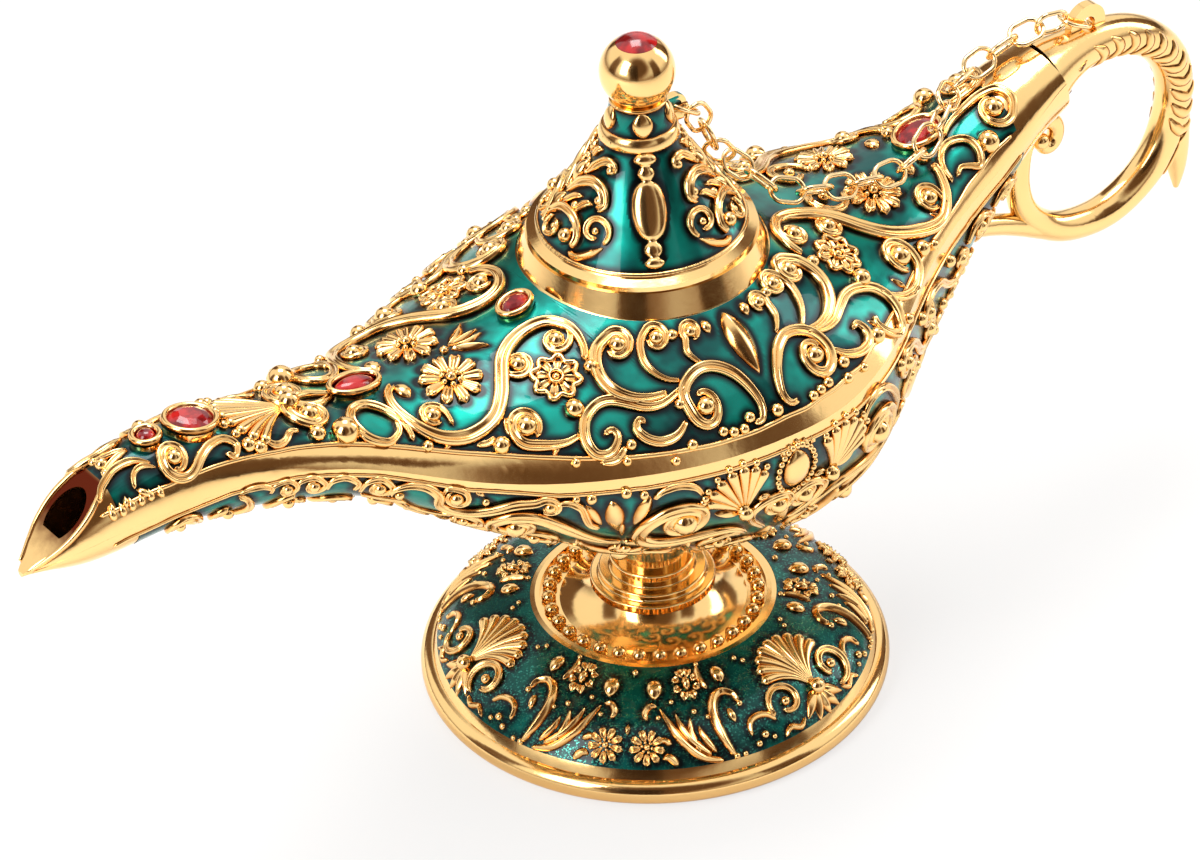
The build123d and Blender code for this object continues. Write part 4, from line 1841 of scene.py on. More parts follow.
    beads: tuple[Point3, ...] = (
        (-26.0, -18.2, 1.05), (-20.6, -14.9, 0.75), (-37.7, -16.9, 0.95), (-8.8, -18.2, 0.62),
        (-9.2, -30.0, 0.55), (-7.8, -30.6, 0.55), (-6.2, -30.9, 0.55), (-4.8, -30.3, 0.6),
        (-0.5, -31.0, 0.7), (-14.0, -29.2, 0.6), (-21.7, -25.4, 0.6), (-23.2, -26.4, 0.5),
        (-13.0, -25.2, 0.6), (7.4, -18.7, 0.62), (5.8, -31.2, 0.55), (7.4, -30.9, 0.55),
        (9.0, -30.5, 0.6), (12.9, -29.0, 0.7), (12.5, -30.6, 0.6), (20.8, -26.7, 0.9),
        (24.2, -19.0, 1.05), (18.3, -15.4, 0.75), (38.2, -15.6, 0.9), (48.3, -3.9, 0.8),
        (57.9, -7.0, 1.25), (-57.2, -7.6, 1.5), (-61.0, -6.6, 0.9), (-71.6, -5.6, 0.8),
        (-70.2, -6.2, 0.7), (-34.9, -15.0, 0.5), (-17.0, -29.4, 0.5), (16.0, -29.9, 0.5),
        (-47.2, -12.9, 0.6), (-29.6, -23.2, 0.5), (28.8, -24.0, 0.6), (41.0, -15.0, 0.6),
    )
    drops: tuple[tuple[float, float, float, float, float], ...] = (
        (-44.6, -3.6, 3.3, 2.3, 95.0), (-3.9, -19.6, 2.3, 1.5, 90.0), (2.8, -19.7, 2.3, 1.5, 90.0),
        (45.2, -4.0, 3.2, 2.2, 90.0), (-93.2, -5.0, 1.6, 0.9, 60.0), (-91.2, -5.3, 1.8, 0.9, 60.0),
        (-88.3, -5.5, 2.4, 1.1, 130.0), (-86.2, -6.1, 1.8, 0.9, 110.0),
    )
    flowers: tuple[Point3, ...] = ((-37.6, -5.3, 4.7), (37.4, -5.6, 4.5))
    rosettes: tuple[Point3, ...] = ((-25.4, -13.3, 3.6), (23.6, -14.6, 3.5))
    leaves: tuple[Point, ...] = (
        (-44.0, 20.0), (-31.0, 25.0), (22.0, -25.0), (30.6, -30.0), (44.4, -25.0),
    )
    settings: tuple[Point, ...] = (
        (-84.0, 2.6), (-77.0, 4.4), (-50.2, 4.4), (-22.4, 3.2), (50.6, 4.6),
    )
    bead_growth: float = 1.4
    collar_foot: float = 18.1
    collar_room: float = 18.3
    collar_reach: float = 18.2
    front_end: float = -92.6
    tail_end: float = 63.0
    spacing: float = 0.8

    def build(self) -> None:
        """Build the gold of the upper shell, paired and along the middle, and its enamel."""
        paired = Relief(self.chart)
        for strand in self.strands:
            paired.scroll(strand)
        for x, y, radius in self.beads:
            paired.bead(x, y, radius * self.bead_growth)
        for x, y, length, width, turn in self.drops:
            paired.drop(x, y, length, width, turn, 0.8)
        for x, y, radius in self.flowers:
            paired.flower(x, y, radius, turn=9.0)
        for x, y, radius in self.rosettes:
            paired.rosette(x, y, radius)
        paired.drop(-0.4, -23.2, 10.2, 3.9, -90.0, 1.3, Section.RIDGED, 0.42)
        for x, turn in self.leaves:
            paired.drop(x, 1.1 - relief_edge(x), 3.0, 1.1, turn, 0.55, Section.RIDGED)
        xs = np.concatenate((np.arange(-95.0, 60.0, 3.0), (62.0,)))
        edge = [(float(x), -relief_edge(float(x))) for x in xs]
        paired.strand(edge, 0.75, 0.42, ends=(0.8, 0.8))
        middle = Relief(self.chart)
        self.middle_line(middle)
        self.fill(paired, middle)
        self.shop.gold(paired, "shoulder_scrolls", "shoulder_beads", both=True)
        self.shop.gold(middle, "ridge_ornament", "ridge_beads")
        self.grounds(EnamelGround(paired.gold + mirrored(paired.gold) + middle.gold))

    def fill(self, paired: Relief, middle: Relief) -> None:
        """Set small curls between the long scrolls of the near side.

        Args:
            paired: relief of the near side, which gets the curls.
            middle: relief on the ridge, which they keep clear of.
        """
        settings = [(self.chart.point(x, 0.0), reach) for x, reach in self.settings]
        pairs = []
        for x in np.arange(-92.0, 61.0, self.spacing):
            edge = relief_edge(float(x)) - 0.6
            pairs.extend((float(x), -float(y)) for y in np.arange(0.7, edge, self.spacing))

        def wall(place: Array) -> float:
            """Give the distance to the ridge, the collar and the seam band."""
            collar = math.hypot(place[0], place[1]) - self.collar_room
            band = relief_edge(float(place[0])) + float(place[1])
            return max(0.0, min(abs(float(place[1])) + 0.1, collar, band))

        Filler(paired, curl=2.5, most=60).fill(pairs, wall, middle.gold + settings)

    @staticmethod
    def middle_line(relief: Relief) -> None:
        """Lay what stands on the ridge: a shell on the spout, four leaves and some beads.

        Args:
            relief: relief on the ridge.
        """
        relief.fan(-61.2, 0.0, 12.0, 180.0, 9, 74.0, 0.75, 0.35)
        relief.bead(-60.4, 0.0, 1.2)
        relief.bead(-34.9, 0.0, 0.7)
        for side in SIDES:
            relief.strand(
                ((-34.0, side * 0.4), (-31.6, side * 1.6), (-29.4, side * 3.4)),
                lambda shares: 1.7 * np.sin(np.pi * shares**0.8) + 0.2,
                0.7,
                Section.RIDGED,
            )
            relief.strand(
                ((-33.6, side * 0.2), (-31.2, side * 0.6), (-28.6, side * 0.5)),
                lambda shares: 1.0 * np.sin(np.pi * shares**0.8) + 0.2,
                0.6,
                Section.RIDGED,
            )
            relief.bead(-91.6, side * 1.5, 0.65)
        relief.bead(-91.2, 0.0, 0.95)

    def grounds(self, ground: EnamelGround) -> None:
        """Lay the enamel of the spout, of both sides of the collar and of the tail.

        Args:
            ground: the ground, which knows the gold.
        """
        reach = self.collar_reach
        shares = np.sin(np.linspace(-0.5, 0.5, 171) * math.pi * 0.86) / math.sin(0.43 * math.pi)
        rows = [(x, shares * relief_edge(x)) for x in even(self.front_end, -reach, 200)]
        self.sheet(ground, "spout_enamel", rows)
        for side, name in zip(SIDES, ("collar_enamel_near", "collar_enamel_far")):
            rows = []
            for x in even(-reach, reach, 110):
                inner = math.sqrt(max(0.0, self.collar_foot**2 - x * x))
                rows.append((x, np.linspace(inner, relief_edge(x), 70) * side))
            self.sheet(ground, name, rows)
        rows = [(x, shares * relief_edge(x)) for x in even(reach, self.tail_end, 120)]
        self.sheet(ground, "tail_enamel", rows)

    def sheet(self, ground: EnamelGround, name: str, rows: list[tuple[float, Array]]) -> None:
        """Lay one sheet of enamel.

        Args:
            ground: the ground, which knows the gold.
            name: name of the piece.
            rows: the x of each row, and the y of its places.
        """
        grid = np.array([[self.chart.point(x, float(y)) for y in ys] for x, ys in rows])
        self.shop.enamel(ground, name, grid, UP)


@dataclass
class Bowl:
    """Raised gold and enamel of the lower shell, mirrored about the lamp's middle."""

    shop: Workshop
    strands: tuple[Strand, ...] = (
        # under the spout
        Strand((
            (-75.0, 1.0), (-73.6, 0.6), (-71.4, 0.7), (-70.0, 1.6), (-70.4, 2.6),
        ), width=0.7, height=0.5),
        Strand((
            (-70.0, 2.6), (-69.8, 1.2), (-67.6, 0.8), (-66.4, 2.0),
        ), end=(-67.7, 2.4, 0.95), width=0.6, height=0.5),
        Strand((
            (-66.2, 3.4), (-66.2, 1.6), (-64.0, 0.8), (-62.4, 2.0),
        ), end=(-63.9, 2.5, 1.05), width=0.7, height=0.5),
        Strand((
            (-62.2, 3.6), (-61.6, 1.6), (-59.6, 1.0), (-57.9, 2.2), (-58.4, 4.0),
        ), width=0.8, height=0.55),
        Strand((
            (-57.4, 4.6), (-57.0, 2.2), (-55.0, 1.3), (-53.4, 2.6),
        ), end=(-55.0, 3.2, 1.15), width=0.8, height=0.55),
        Strand((
            (-53.4, 4.9), (-53.3, 3.2), (-51.4, 1.9), (-49.2, 1.8), (-47.6, 3.0), (-47.2, 4.8),
            (-45.8, 5.9), (-43.4, 6.0), (-40.8, 4.9), (-38.4, 3.6), (-35.8, 3.1),
        ), end=(-34.0, 3.9, 1.1), width=1.2),
        Strand(((-47.2, 3.2), (-46.6, 1.6), (-44.6, 1.6)), end=(-45.4, 3.2, 1.3), width=0.7, height=0.6),
        Strand((
            (-33.4, 3.3), (-31.8, 3.0), (-30.2, 4.0), (-29.4, 6.0), (-28.4, 8.0), (-26.9, 9.2),
        ), width=0.9),
        Strand((
            (-39.6, 9.6), (-39.9, 7.9), (-38.4, 6.2), (-35.8, 5.9), (-33.2, 7.1), (-30.8, 9.1),
            (-28.2, 11.5), (-25.6, 13.4), (-22.8, 14.2),
        ), start=(-37.0, 9.3, 1.9), width=1.5, height=1.0, ends=(0.6, 0.3)),
        Strand((
            (-57.0, 5.4), (-54.6, 6.3), (-51.6, 6.4), (-49.8, 8.4), (-47.8, 9.6), (-45.6, 9.0),
            (-44.4, 7.4),
        ), width=0.8, height=0.55),
        Strand((
            (-46.6, 9.6), (-44.2, 12.6), (-41.6, 16.6), (-39.4, 20.6),
        ), width=1.1, height=0.6, section=Section.RIDGED),
        Strand((
            (-39.4, 12.6), (-37.0, 16.0), (-34.6, 20.0), (-32.2, 24.0),
        ), width=1.2, height=0.6, section=Section.RIDGED),
        # middle
        Strand((
            (-20.8, 4.2), (-19.4, 2.9), (-17.2, 2.5), (-15.0, 3.3), (-13.7, 5.2),
        ), width=0.9, height=0.6),
        Strand((
            (-13.3, 9.4), (-14.0, 7.8), (-16.0, 6.9), (-18.6, 7.2), (-20.6, 8.8), (-21.4, 11.0),
            (-20.8, 13.2), (-18.8, 14.8), (-16.0, 15.4), (-13.0, 15.1), (-10.0, 14.9), (-7.4, 15.6),
            (-5.4, 17.2), (-4.0, 19.2),
        ), start=(-15.8, 9.9, 2.35), width=1.7, height=1.05, ends=(0.6, 0.3)),
        Strand((
            (0.7, 12.0), (0.2, 10.7), (-1.4, 10.1), (-3.8, 10.4), (-5.4, 12.0), (-4.8, 14.4),
            (-3.0, 16.8), (-1.2, 19.0),
        ), start=(-1.2, 12.3, 1.75), width=1.1),
        Strand(((-5.0, 9.8), (-4.2, 9.0), (-2.9, 9.6)), width=0.7, height=0.6),
        Strand((
            (1.4, 12.4), (2.0, 11.0), (3.6, 10.4), (5.6, 10.9), (7.0, 12.4), (6.4, 14.6), (4.4, 16.8),
            (2.4, 18.8),
        ), start=(3.3, 12.5, 1.75), width=1.1),
        Strand(((6.6, 9.9), (5.6, 9.1), (4.4, 9.7)), width=0.7, height=0.6),
        # under the tail
        Strand((
            (13.7, 5.2), (14.8, 3.2), (16.8, 2.4), (19.0, 3.0), (21.0, 4.8), (22.8, 7.4), (24.2, 10.2),
            (24.6, 13.0),
        ), width=1.0),
        Strand((
            (15.2, 9.6), (16.0, 7.9), (18.2, 7.2), (20.6, 8.2), (22.0, 10.6), (22.0, 13.4),
            (20.2, 15.4), (17.0, 16.0), (13.6, 15.4), (10.6, 15.2), (8.0, 16.2), (6.2, 18.6),
        ), start=(17.9, 10.1, 2.3), width=1.7, height=1.05, ends=(0.6, 0.3)),
        Strand((
            (26.0, 3.6), (28.4, 4.0), (31.0, 6.0), (33.0, 9.0), (35.4, 11.6), (38.4, 12.4),
        ), start=(27.4, 6.0, 1.5), end=(38.2, 10.4, 1.5), width=1.2),
        Strand((
            (36.0, 4.4), (38.6, 3.8), (41.6, 5.0), (44.0, 7.6), (46.6, 9.4), (49.2, 9.2),
        ), start=(37.4, 6.6, 1.4), end=(48.8, 7.4, 1.3), width=1.1),
        Strand(((50.4, 6.4), (52.0, 4.4), (54.4, 4.2), (56.2, 6.0)), end=(54.4, 6.6, 1.2), width=0.9),
        Strand(((57.2, 6.0), (58.6, 4.2), (60.6, 4.0), (62.2, 5.4)), end=(60.6, 5.9, 1.1), width=0.8),
        # underneath
        Strand((
            (-28.0, 15.0), (-25.4, 18.6), (-22.0, 21.6), (-18.0, 23.0),
        ), end=(-18.6, 25.2, 1.8), width=1.3),
        Strand((
            (24.0, 15.0), (22.6, 18.8), (19.6, 21.8), (16.0, 23.0),
        ), end=(16.8, 25.2, 1.8), width=1.3),
        Strand((
            (-12.4, 18.6), (-11.6, 22.0), (-9.0, 25.0), (-5.6, 26.6),
        ), width=1.2, section=Section.RIDGED),
        Strand((
            (12.4, 18.6), (11.6, 22.0), (9.0, 25.0), (5.6, 26.6),
        ), width=1.2, section=Section.RIDGED),
        Strand((
            (28.0, 14.0), (31.6, 17.0), (35.4, 18.6), (39.6, 18.4),
        ), width=1.0, section=Section.RIDGED),
    )
    drops: tuple[tuple[float, float, float, float, float, float], ...] = (
        (-25.4, 7.2, 7.4, 3.0, 76.0, 0.95), (-22.0, 6.4, 6.2, 2.4, 106.0, 0.85),
        (-28.2, 6.4, 5.6, 1.7, 60.0, 0.7), (-23.9, 10.4, 4.6, 1.2, 84.0, 0.6),
        (-9.3, 10.9, 4.6, 1.7, 22.0, 0.8), (11.0, 9.7, 4.2, 1.7, -22.0, 0.8),
        (-16.0, 18.6, 6.0, 2.2, 50.0, 0.7), (16.0, 18.6, 6.0, 2.2, 130.0, 0.7),
        (1.0, 17.0, 6.4, 2.4, 90.0, 0.8), (1.0, 24.6, 6.4, 3.0, 90.0, 0.8),
        (-42.6, 2.0, 2.0, 1.0, 30.0, 0.5), (25.0, 19.0, 5.4, 2.0, 60.0, 0.7),
    )
    beads: tuple[Point3, ...] = (
        (-34.0, 3.9, 0.7), (-28.9, 2.7, 0.7), (-24.4, 2.3, 0.7), (-22.0, 3.0, 0.6),
        (-30.8, 2.6, 0.5), (-13.4, 6.0, 0.5), (-7.0, 10.6, 0.8), (7.6, 10.2, 0.8),
        (-41.8, 3.4, 0.5), (24.6, 4.0, 0.8), (33.6, 4.2, 0.9), (44.6, 4.0, 0.9),
        (33.4, 12.8, 0.8), (43.6, 11.2, 0.8), (50.4, 9.6, 0.7), (-52.2, 4.4, 0.6),
    )
    shells: tuple[tuple[float, float, float, float, float], ...] = (
        (-6.7, 11.2, 9.2, -108.0, 78.0), (7.8, 10.6, 9.0, -62.0, 82.0),
    )
    strip_widths: tuple[Point, ...] = (
        (-94.0, 1.6), (-76.0, 0.7), (-60.0, 0.7), (-50.0, 1.2), (-30.0, 2.0), (0.0, 2.0),
        (30.0, 2.6), (45.0, 3.0), (64.0, 2.6),
    )
    bead_growth: float = 1.2
    core_height: float = 64.0
    spacing: float = 0.9

    def build(self) -> None:
        """Build the gold and the enamel of the lower shell."""
        chart = BowlChart(Skin("lower_shell", "upper_shell"))
        paired = Relief(chart, 0.46)
        for strand in self.strands:
            paired.scroll(strand)
        for x, down, length, width, turn, height in self.drops:
            paired.drop(x, down, length, width, turn, height, Section.RIDGED, 0.45)
        for x, down, radius in self.beads:
            paired.bead(x, down, radius * self.bead_growth)
        for x, down, radius, turn, opening in self.shells:
            paired.fan(x, down, radius, turn, 7, opening, 0.55, 0.2)
        self.medallion(paired)
        self.keel(chart, paired)
        self.fill(chart, paired)
        xs = np.concatenate((np.arange(-94.0, 63.0, 3.0), (64.0,)))
        paired.strand([(float(x), self.strip(float(x))) for x in xs], 0.6, 0.35, ends=(0.8, 0.8))
        self.shop.gold(paired, "bowl_scrolls", "bowl_beads", both=True)
        self.grounds(chart, paired)

    def fill(self, chart: BowlChart, relief: Relief) -> None:
        """Set small curls between the scrolls.

        Args:
            chart: coordinates on the lower half.
            relief: its relief, which gets the curls.
        """
        pairs = []
        borders = []
        for x in np.arange(-84.0, 62.0, self.spacing):
            top, low = self.strip(float(x)) + 0.7, chart.keel(float(x)) - 2.6
            pairs.extend((float(x), float(down)) for down in np.arange(top, low, self.spacing))
            borders.append((chart.point(float(x), top - 0.7), 0.3))
        Filler(relief, curl=2.3, most=80).fill(pairs, lambda place: 4.0, borders)

    def strip(self, x: float) -> float:
        """Give how wide the plain strip under the seam is."""
        return float(np.interp(x, *zip(*self.strip_widths)))

    @staticmethod
    def medallion(relief: Relief) -> None:
        """Lay the oval in a ring of beads at the widest place, under five small drops.

        Args:
            relief: relief of the lower half.
        """
        local = TangentChart(relief.chart, 1.0, 6.3)
        for angle in even_angles(24):
            relief.bead(3.15 * math.cos(angle), 4.3 * math.sin(angle), 0.5, local, 0.5)
        relief.drop(1.0, 6.3, 7.2, 4.7, 90.0, 1.2)
        for k in range(5):
            down = 1.6 + 0.35 * abs(k - 2)
            relief.drop(-1.6 + 1.3 * k, down, 1.5, 0.9, 90.0, 0.55, Section.DISHED)

    @staticmethod
    def keel(chart: BowlChart, relief: Relief) -> None:
        """Lay the rope of leaves along the keel, under spout and tail.

        Args:
            chart: coordinates on the lower half.
            relief: its relief.
        """
        for first, last, turn in ((-86.0, -24.0, 24.0), (26.0, 66.0, -24.0)):
            for x in map(float, np.arange(first, last, 2.6)):
                down = max(3.0, chart.keel(x) - 1.5)
                relief.drop(x, down, 3.4, 1.7, turn, 0.45, Section.RIDGED)
            xs = map(float, np.arange(first, last, 3.0))
            line = [(x, max(3.0, chart.keel(x) - 0.7)) for x in xs]
            relief.strand(line, 1.7, 0.4, ends=(0.4, 0.8))

    def grounds(self, chart: BowlChart, paired: Relief) -> None:
        """Lay the enamel of the lower shell, near and far.

        Args:
            chart: coordinates on the lower half.
            paired: its relief.
        """
        ground = EnamelGround(paired.gold + mirrored(paired.gold))
        rows = []
        for x in map(float, np.arange(-90.0, 65.0, 0.8)):
            top = self.strip(x)
            low = max(top + 1.0, chart.keel(x) - 0.4)
            rows.append([chart.point(x, down) for down in even(top, low, 84)])
        grid = np.array(rows)
        for name, side in (("bowl_enamel_near", 1.0), ("bowl_enamel_far", -1.0)):
            half = grid * (1.0, side, 1.0)
            rough = half * (0.0, 1.0, 1.0) - (0.0, 0.0, self.core_height)
            self.shop.enamel(ground, name, half, rough)


@dataclass
class Foot:
    """Raised gold and glitter enamel of the foot: one half unit, mirrored, three times."""

    shop: Workshop
    units: int = 3
    axis: float = -135.0
    strands: tuple[Strand, ...] = (
        Strand((
            (26.0, 32.3), (20.0, 31.6), (15.0, 29.6), (11.8, 27.2), (9.4, 25.4),
        ), width=0.85, height=0.6, ends=(0.6, 0.3)),
        Strand((
            (23.0, 31.7), (18.4, 30.0), (15.6, 28.0), (14.4, 26.2),
        ), width=0.8, height=0.55, ends=(0.6, 0.3)),
        Strand(((20.0, 31.4), (18.4, 29.0), (18.8, 27.0)), width=0.7, height=0.5, ends=(0.6, 0.3)),
        Strand(((24.4, 31.6), (21.6, 29.6), (20.8, 28.2)), width=0.7, height=0.5, ends=(0.6, 0.3)),
        Strand(((14.0, 32.2), (11.6, 31.4), (9.6, 31.6)), width=0.8, height=0.5, ends=(0.7, 0.3)),
        Strand(((12.8, 30.2), (10.2, 29.6), (9.0, 30.2)), width=0.7, height=0.5, ends=(0.7, 0.3)),
        Strand((
            (29.0, 32.2), (27.2, 30.4), (26.2, 28.2), (26.6, 26.2), (28.8, 24.7), (32.0, 24.3),
            (34.8, 25.2), (35.0, 26.6),
        ), width=1.0, height=0.7, ends=(0.6, 0.5)),
        Strand((
            (35.0, 31.0), (35.6, 29.6), (38.2, 29.0), (41.6, 29.3), (43.6, 30.4),
        ), width=0.7, height=0.5),
        Strand(((44.0, 32.2), (46.6, 31.6), (49.6, 32.0), (52.0, 31.4)), width=0.65, height=0.5),
        Strand(((27.0, 23.4), (25.6, 21.0), (26.6, 19.0)), width=0.7, height=0.5),
        Strand(((9.0, 25.2), (6.4, 25.0), (4.8, 26.2), (5.8, 27.2)), width=0.7, height=0.5),
    )
    drops: tuple[tuple[float, float, float, float, float, float], ...] = (
        (8.0, 22.4, 3.6, 2.5, 90.0, 1.15), (33.2, 21.4, 3.2, 2.1, 90.0, 0.9),
        (31.4, 27.9, 2.6, 1.2, 80.0, 0.8), (0.0, 28.4, 1.8, 0.9, 90.0, 0.6),
    )
    beads: tuple[Point3, ...] = (
        (29.4, 32.2, 0.5), (31.8, 32.2, 0.42), (36.2, 31.8, 0.5), (38.6, 31.2, 0.6),
        (41.0, 31.7, 0.4), (35.2, 26.8, 0.5), (26.8, 18.9, 0.4), (13.6, 24.6, 0.4),
        (9.0, 26.8, 0.4), (20.4, 26.4, 0.45), (24.2, 27.4, 0.4), (46.0, 21.0, 0.4),
        (43.6, 20.0, 0.4),
    )
    inner: float = 18.3
    outer: float = 32.9
    palmette_leaves: tuple[Point3, ...] = (
        (4.6, 90.0, 2.4), (5.0, 62.0, 2.3), (5.0, 118.0, 2.3), (5.2, 36.0, 2.1), (5.2, 144.0, 2.1),
    )

    def build(self) -> None:
        """Build the foot's gold and enamel."""
        relief = Relief(RingChart(Skin("foot")), 0.42)
        for number in range(self.units):
            middle = self.axis + 360.0 / self.units * number
            for side in SIDES:
                self.half(relief, middle, side)
            relief.bead(middle, 19.6, 0.5)
            self.palmette(relief, middle + 180.0 / self.units)
        self.fill(relief)
        scrolls = relief.draft.build("foot_scrolls", self.shop.palette.relief)
        carry(scrolls, BODY)
        for k in range(32):
            relief.bead(360.0 * k / 32, 15.5, 1.12, rise=0.42)
        beads = self.shop.maker.make("foot_beads", relief.beads, self.shop.palette.gold)
        carry(beads, BODY)
        ground = EnamelGround(relief.gold)
        angles = even(-180.0, 180.0, 640, endpoint=False)
        radii = even(self.inner, 32.4, 48)
        grid = np.array([[relief.chart.point(a, radius) for a in angles] for radius in radii])
        self.shop.enamel(ground, "foot_enamel", grid, UP, wrap=True, glitter=True)

    def fill(self, relief: Relief) -> None:
        """Set small curls into the foot's bare patches.

        Args:
            relief: the foot's relief.
        """
        pairs = [
            (float(angle), float(radius))
            for radius in np.arange(19.2, 32.2, 0.75)
            for angle in np.arange(-180.0, 180.0, 2.4)
        ]

        def wall(place: Array) -> float:
            """Give the distance to the rims of the enamel."""
            radius = math.hypot(place[0], place[1])
            return max(0.0, min(radius - self.inner, self.outer - radius))

        Filler(relief, curl=2.5, most=60, wide=0.42).fill(pairs, wall)

    def half(self, relief: Relief, middle: float, side: float) -> None:
        """Lay one half unit.

        Args:
            relief: the foot's relief.
            middle: angle of the unit's axis in degrees.
            side: 1 or -1, the half's hand.
        """
        for strand in self.strands:
            points = tuple((middle + side * d, r) for d, r in strand.points)
            width, height = strand.width * 1.75, strand.height * 1.3
            relief.strand(points, width, height, Section.RIDGED, ends=strand.ends)
        for d, r, length, width, turn, height in self.drops:
            relief.drop(middle + side * d, r, length, width, turn, height)
        for d, r, radius in self.beads:
            relief.bead(middle + side * d, r, radius)
        relief.flower(middle + side * 5.7, 30.4, 2.75, 9, 11.0)
        self.oval_flower(relief, middle + side * 20.0, 21.9)

    @staticmethod
    def oval_flower(relief: Relief, angle: float, radius: float) -> None:
        """Lay a long flower of eight petals round an oval.

        Args:
            relief: the foot's relief.
            angle: angle of its middle in degrees.
            radius: radius of its middle.
        """
        local = TangentChart(relief.chart, angle, radius)
        for way in even_angles(8, 0.5):
            far = (2.1 * math.cos(way), 3.0 * math.sin(way))
            near = (far[0] * 0.42, far[1] * 0.42)
            relief.strand(
                (near, far),
                lambda shares: 1.15 + 0.35 * shares,
                lambda shares: 0.75 - 0.1 * shares,
                Section.DISHED,
                local,
                ends=relief.plain_ends,
            )
        relief.drop(0.0, 0.0, 2.4, 1.3, 90.0, 1.15, chart=local)

    def palmette(self, relief: Relief, angle: float) -> None:
        """Lay a shell whose edge faces the stem, over a leafy cup.

        Args:
            relief: the foot's relief.
            angle: angle of its middle in degrees.
        """
        relief.fan(angle, 29.6, 9.9, -90.0, 9, 96.0, 0.0, 0.7)
        local = TangentChart(relief.chart, angle, 29.6)
        for reach, turn, width in self.palmette_leaves:
            x, y = polar(0.5 * reach, math.radians(turn))
            relief.drop(x, y, reach, width, turn, 0.75, Section.RIDGED, 0.4, local)


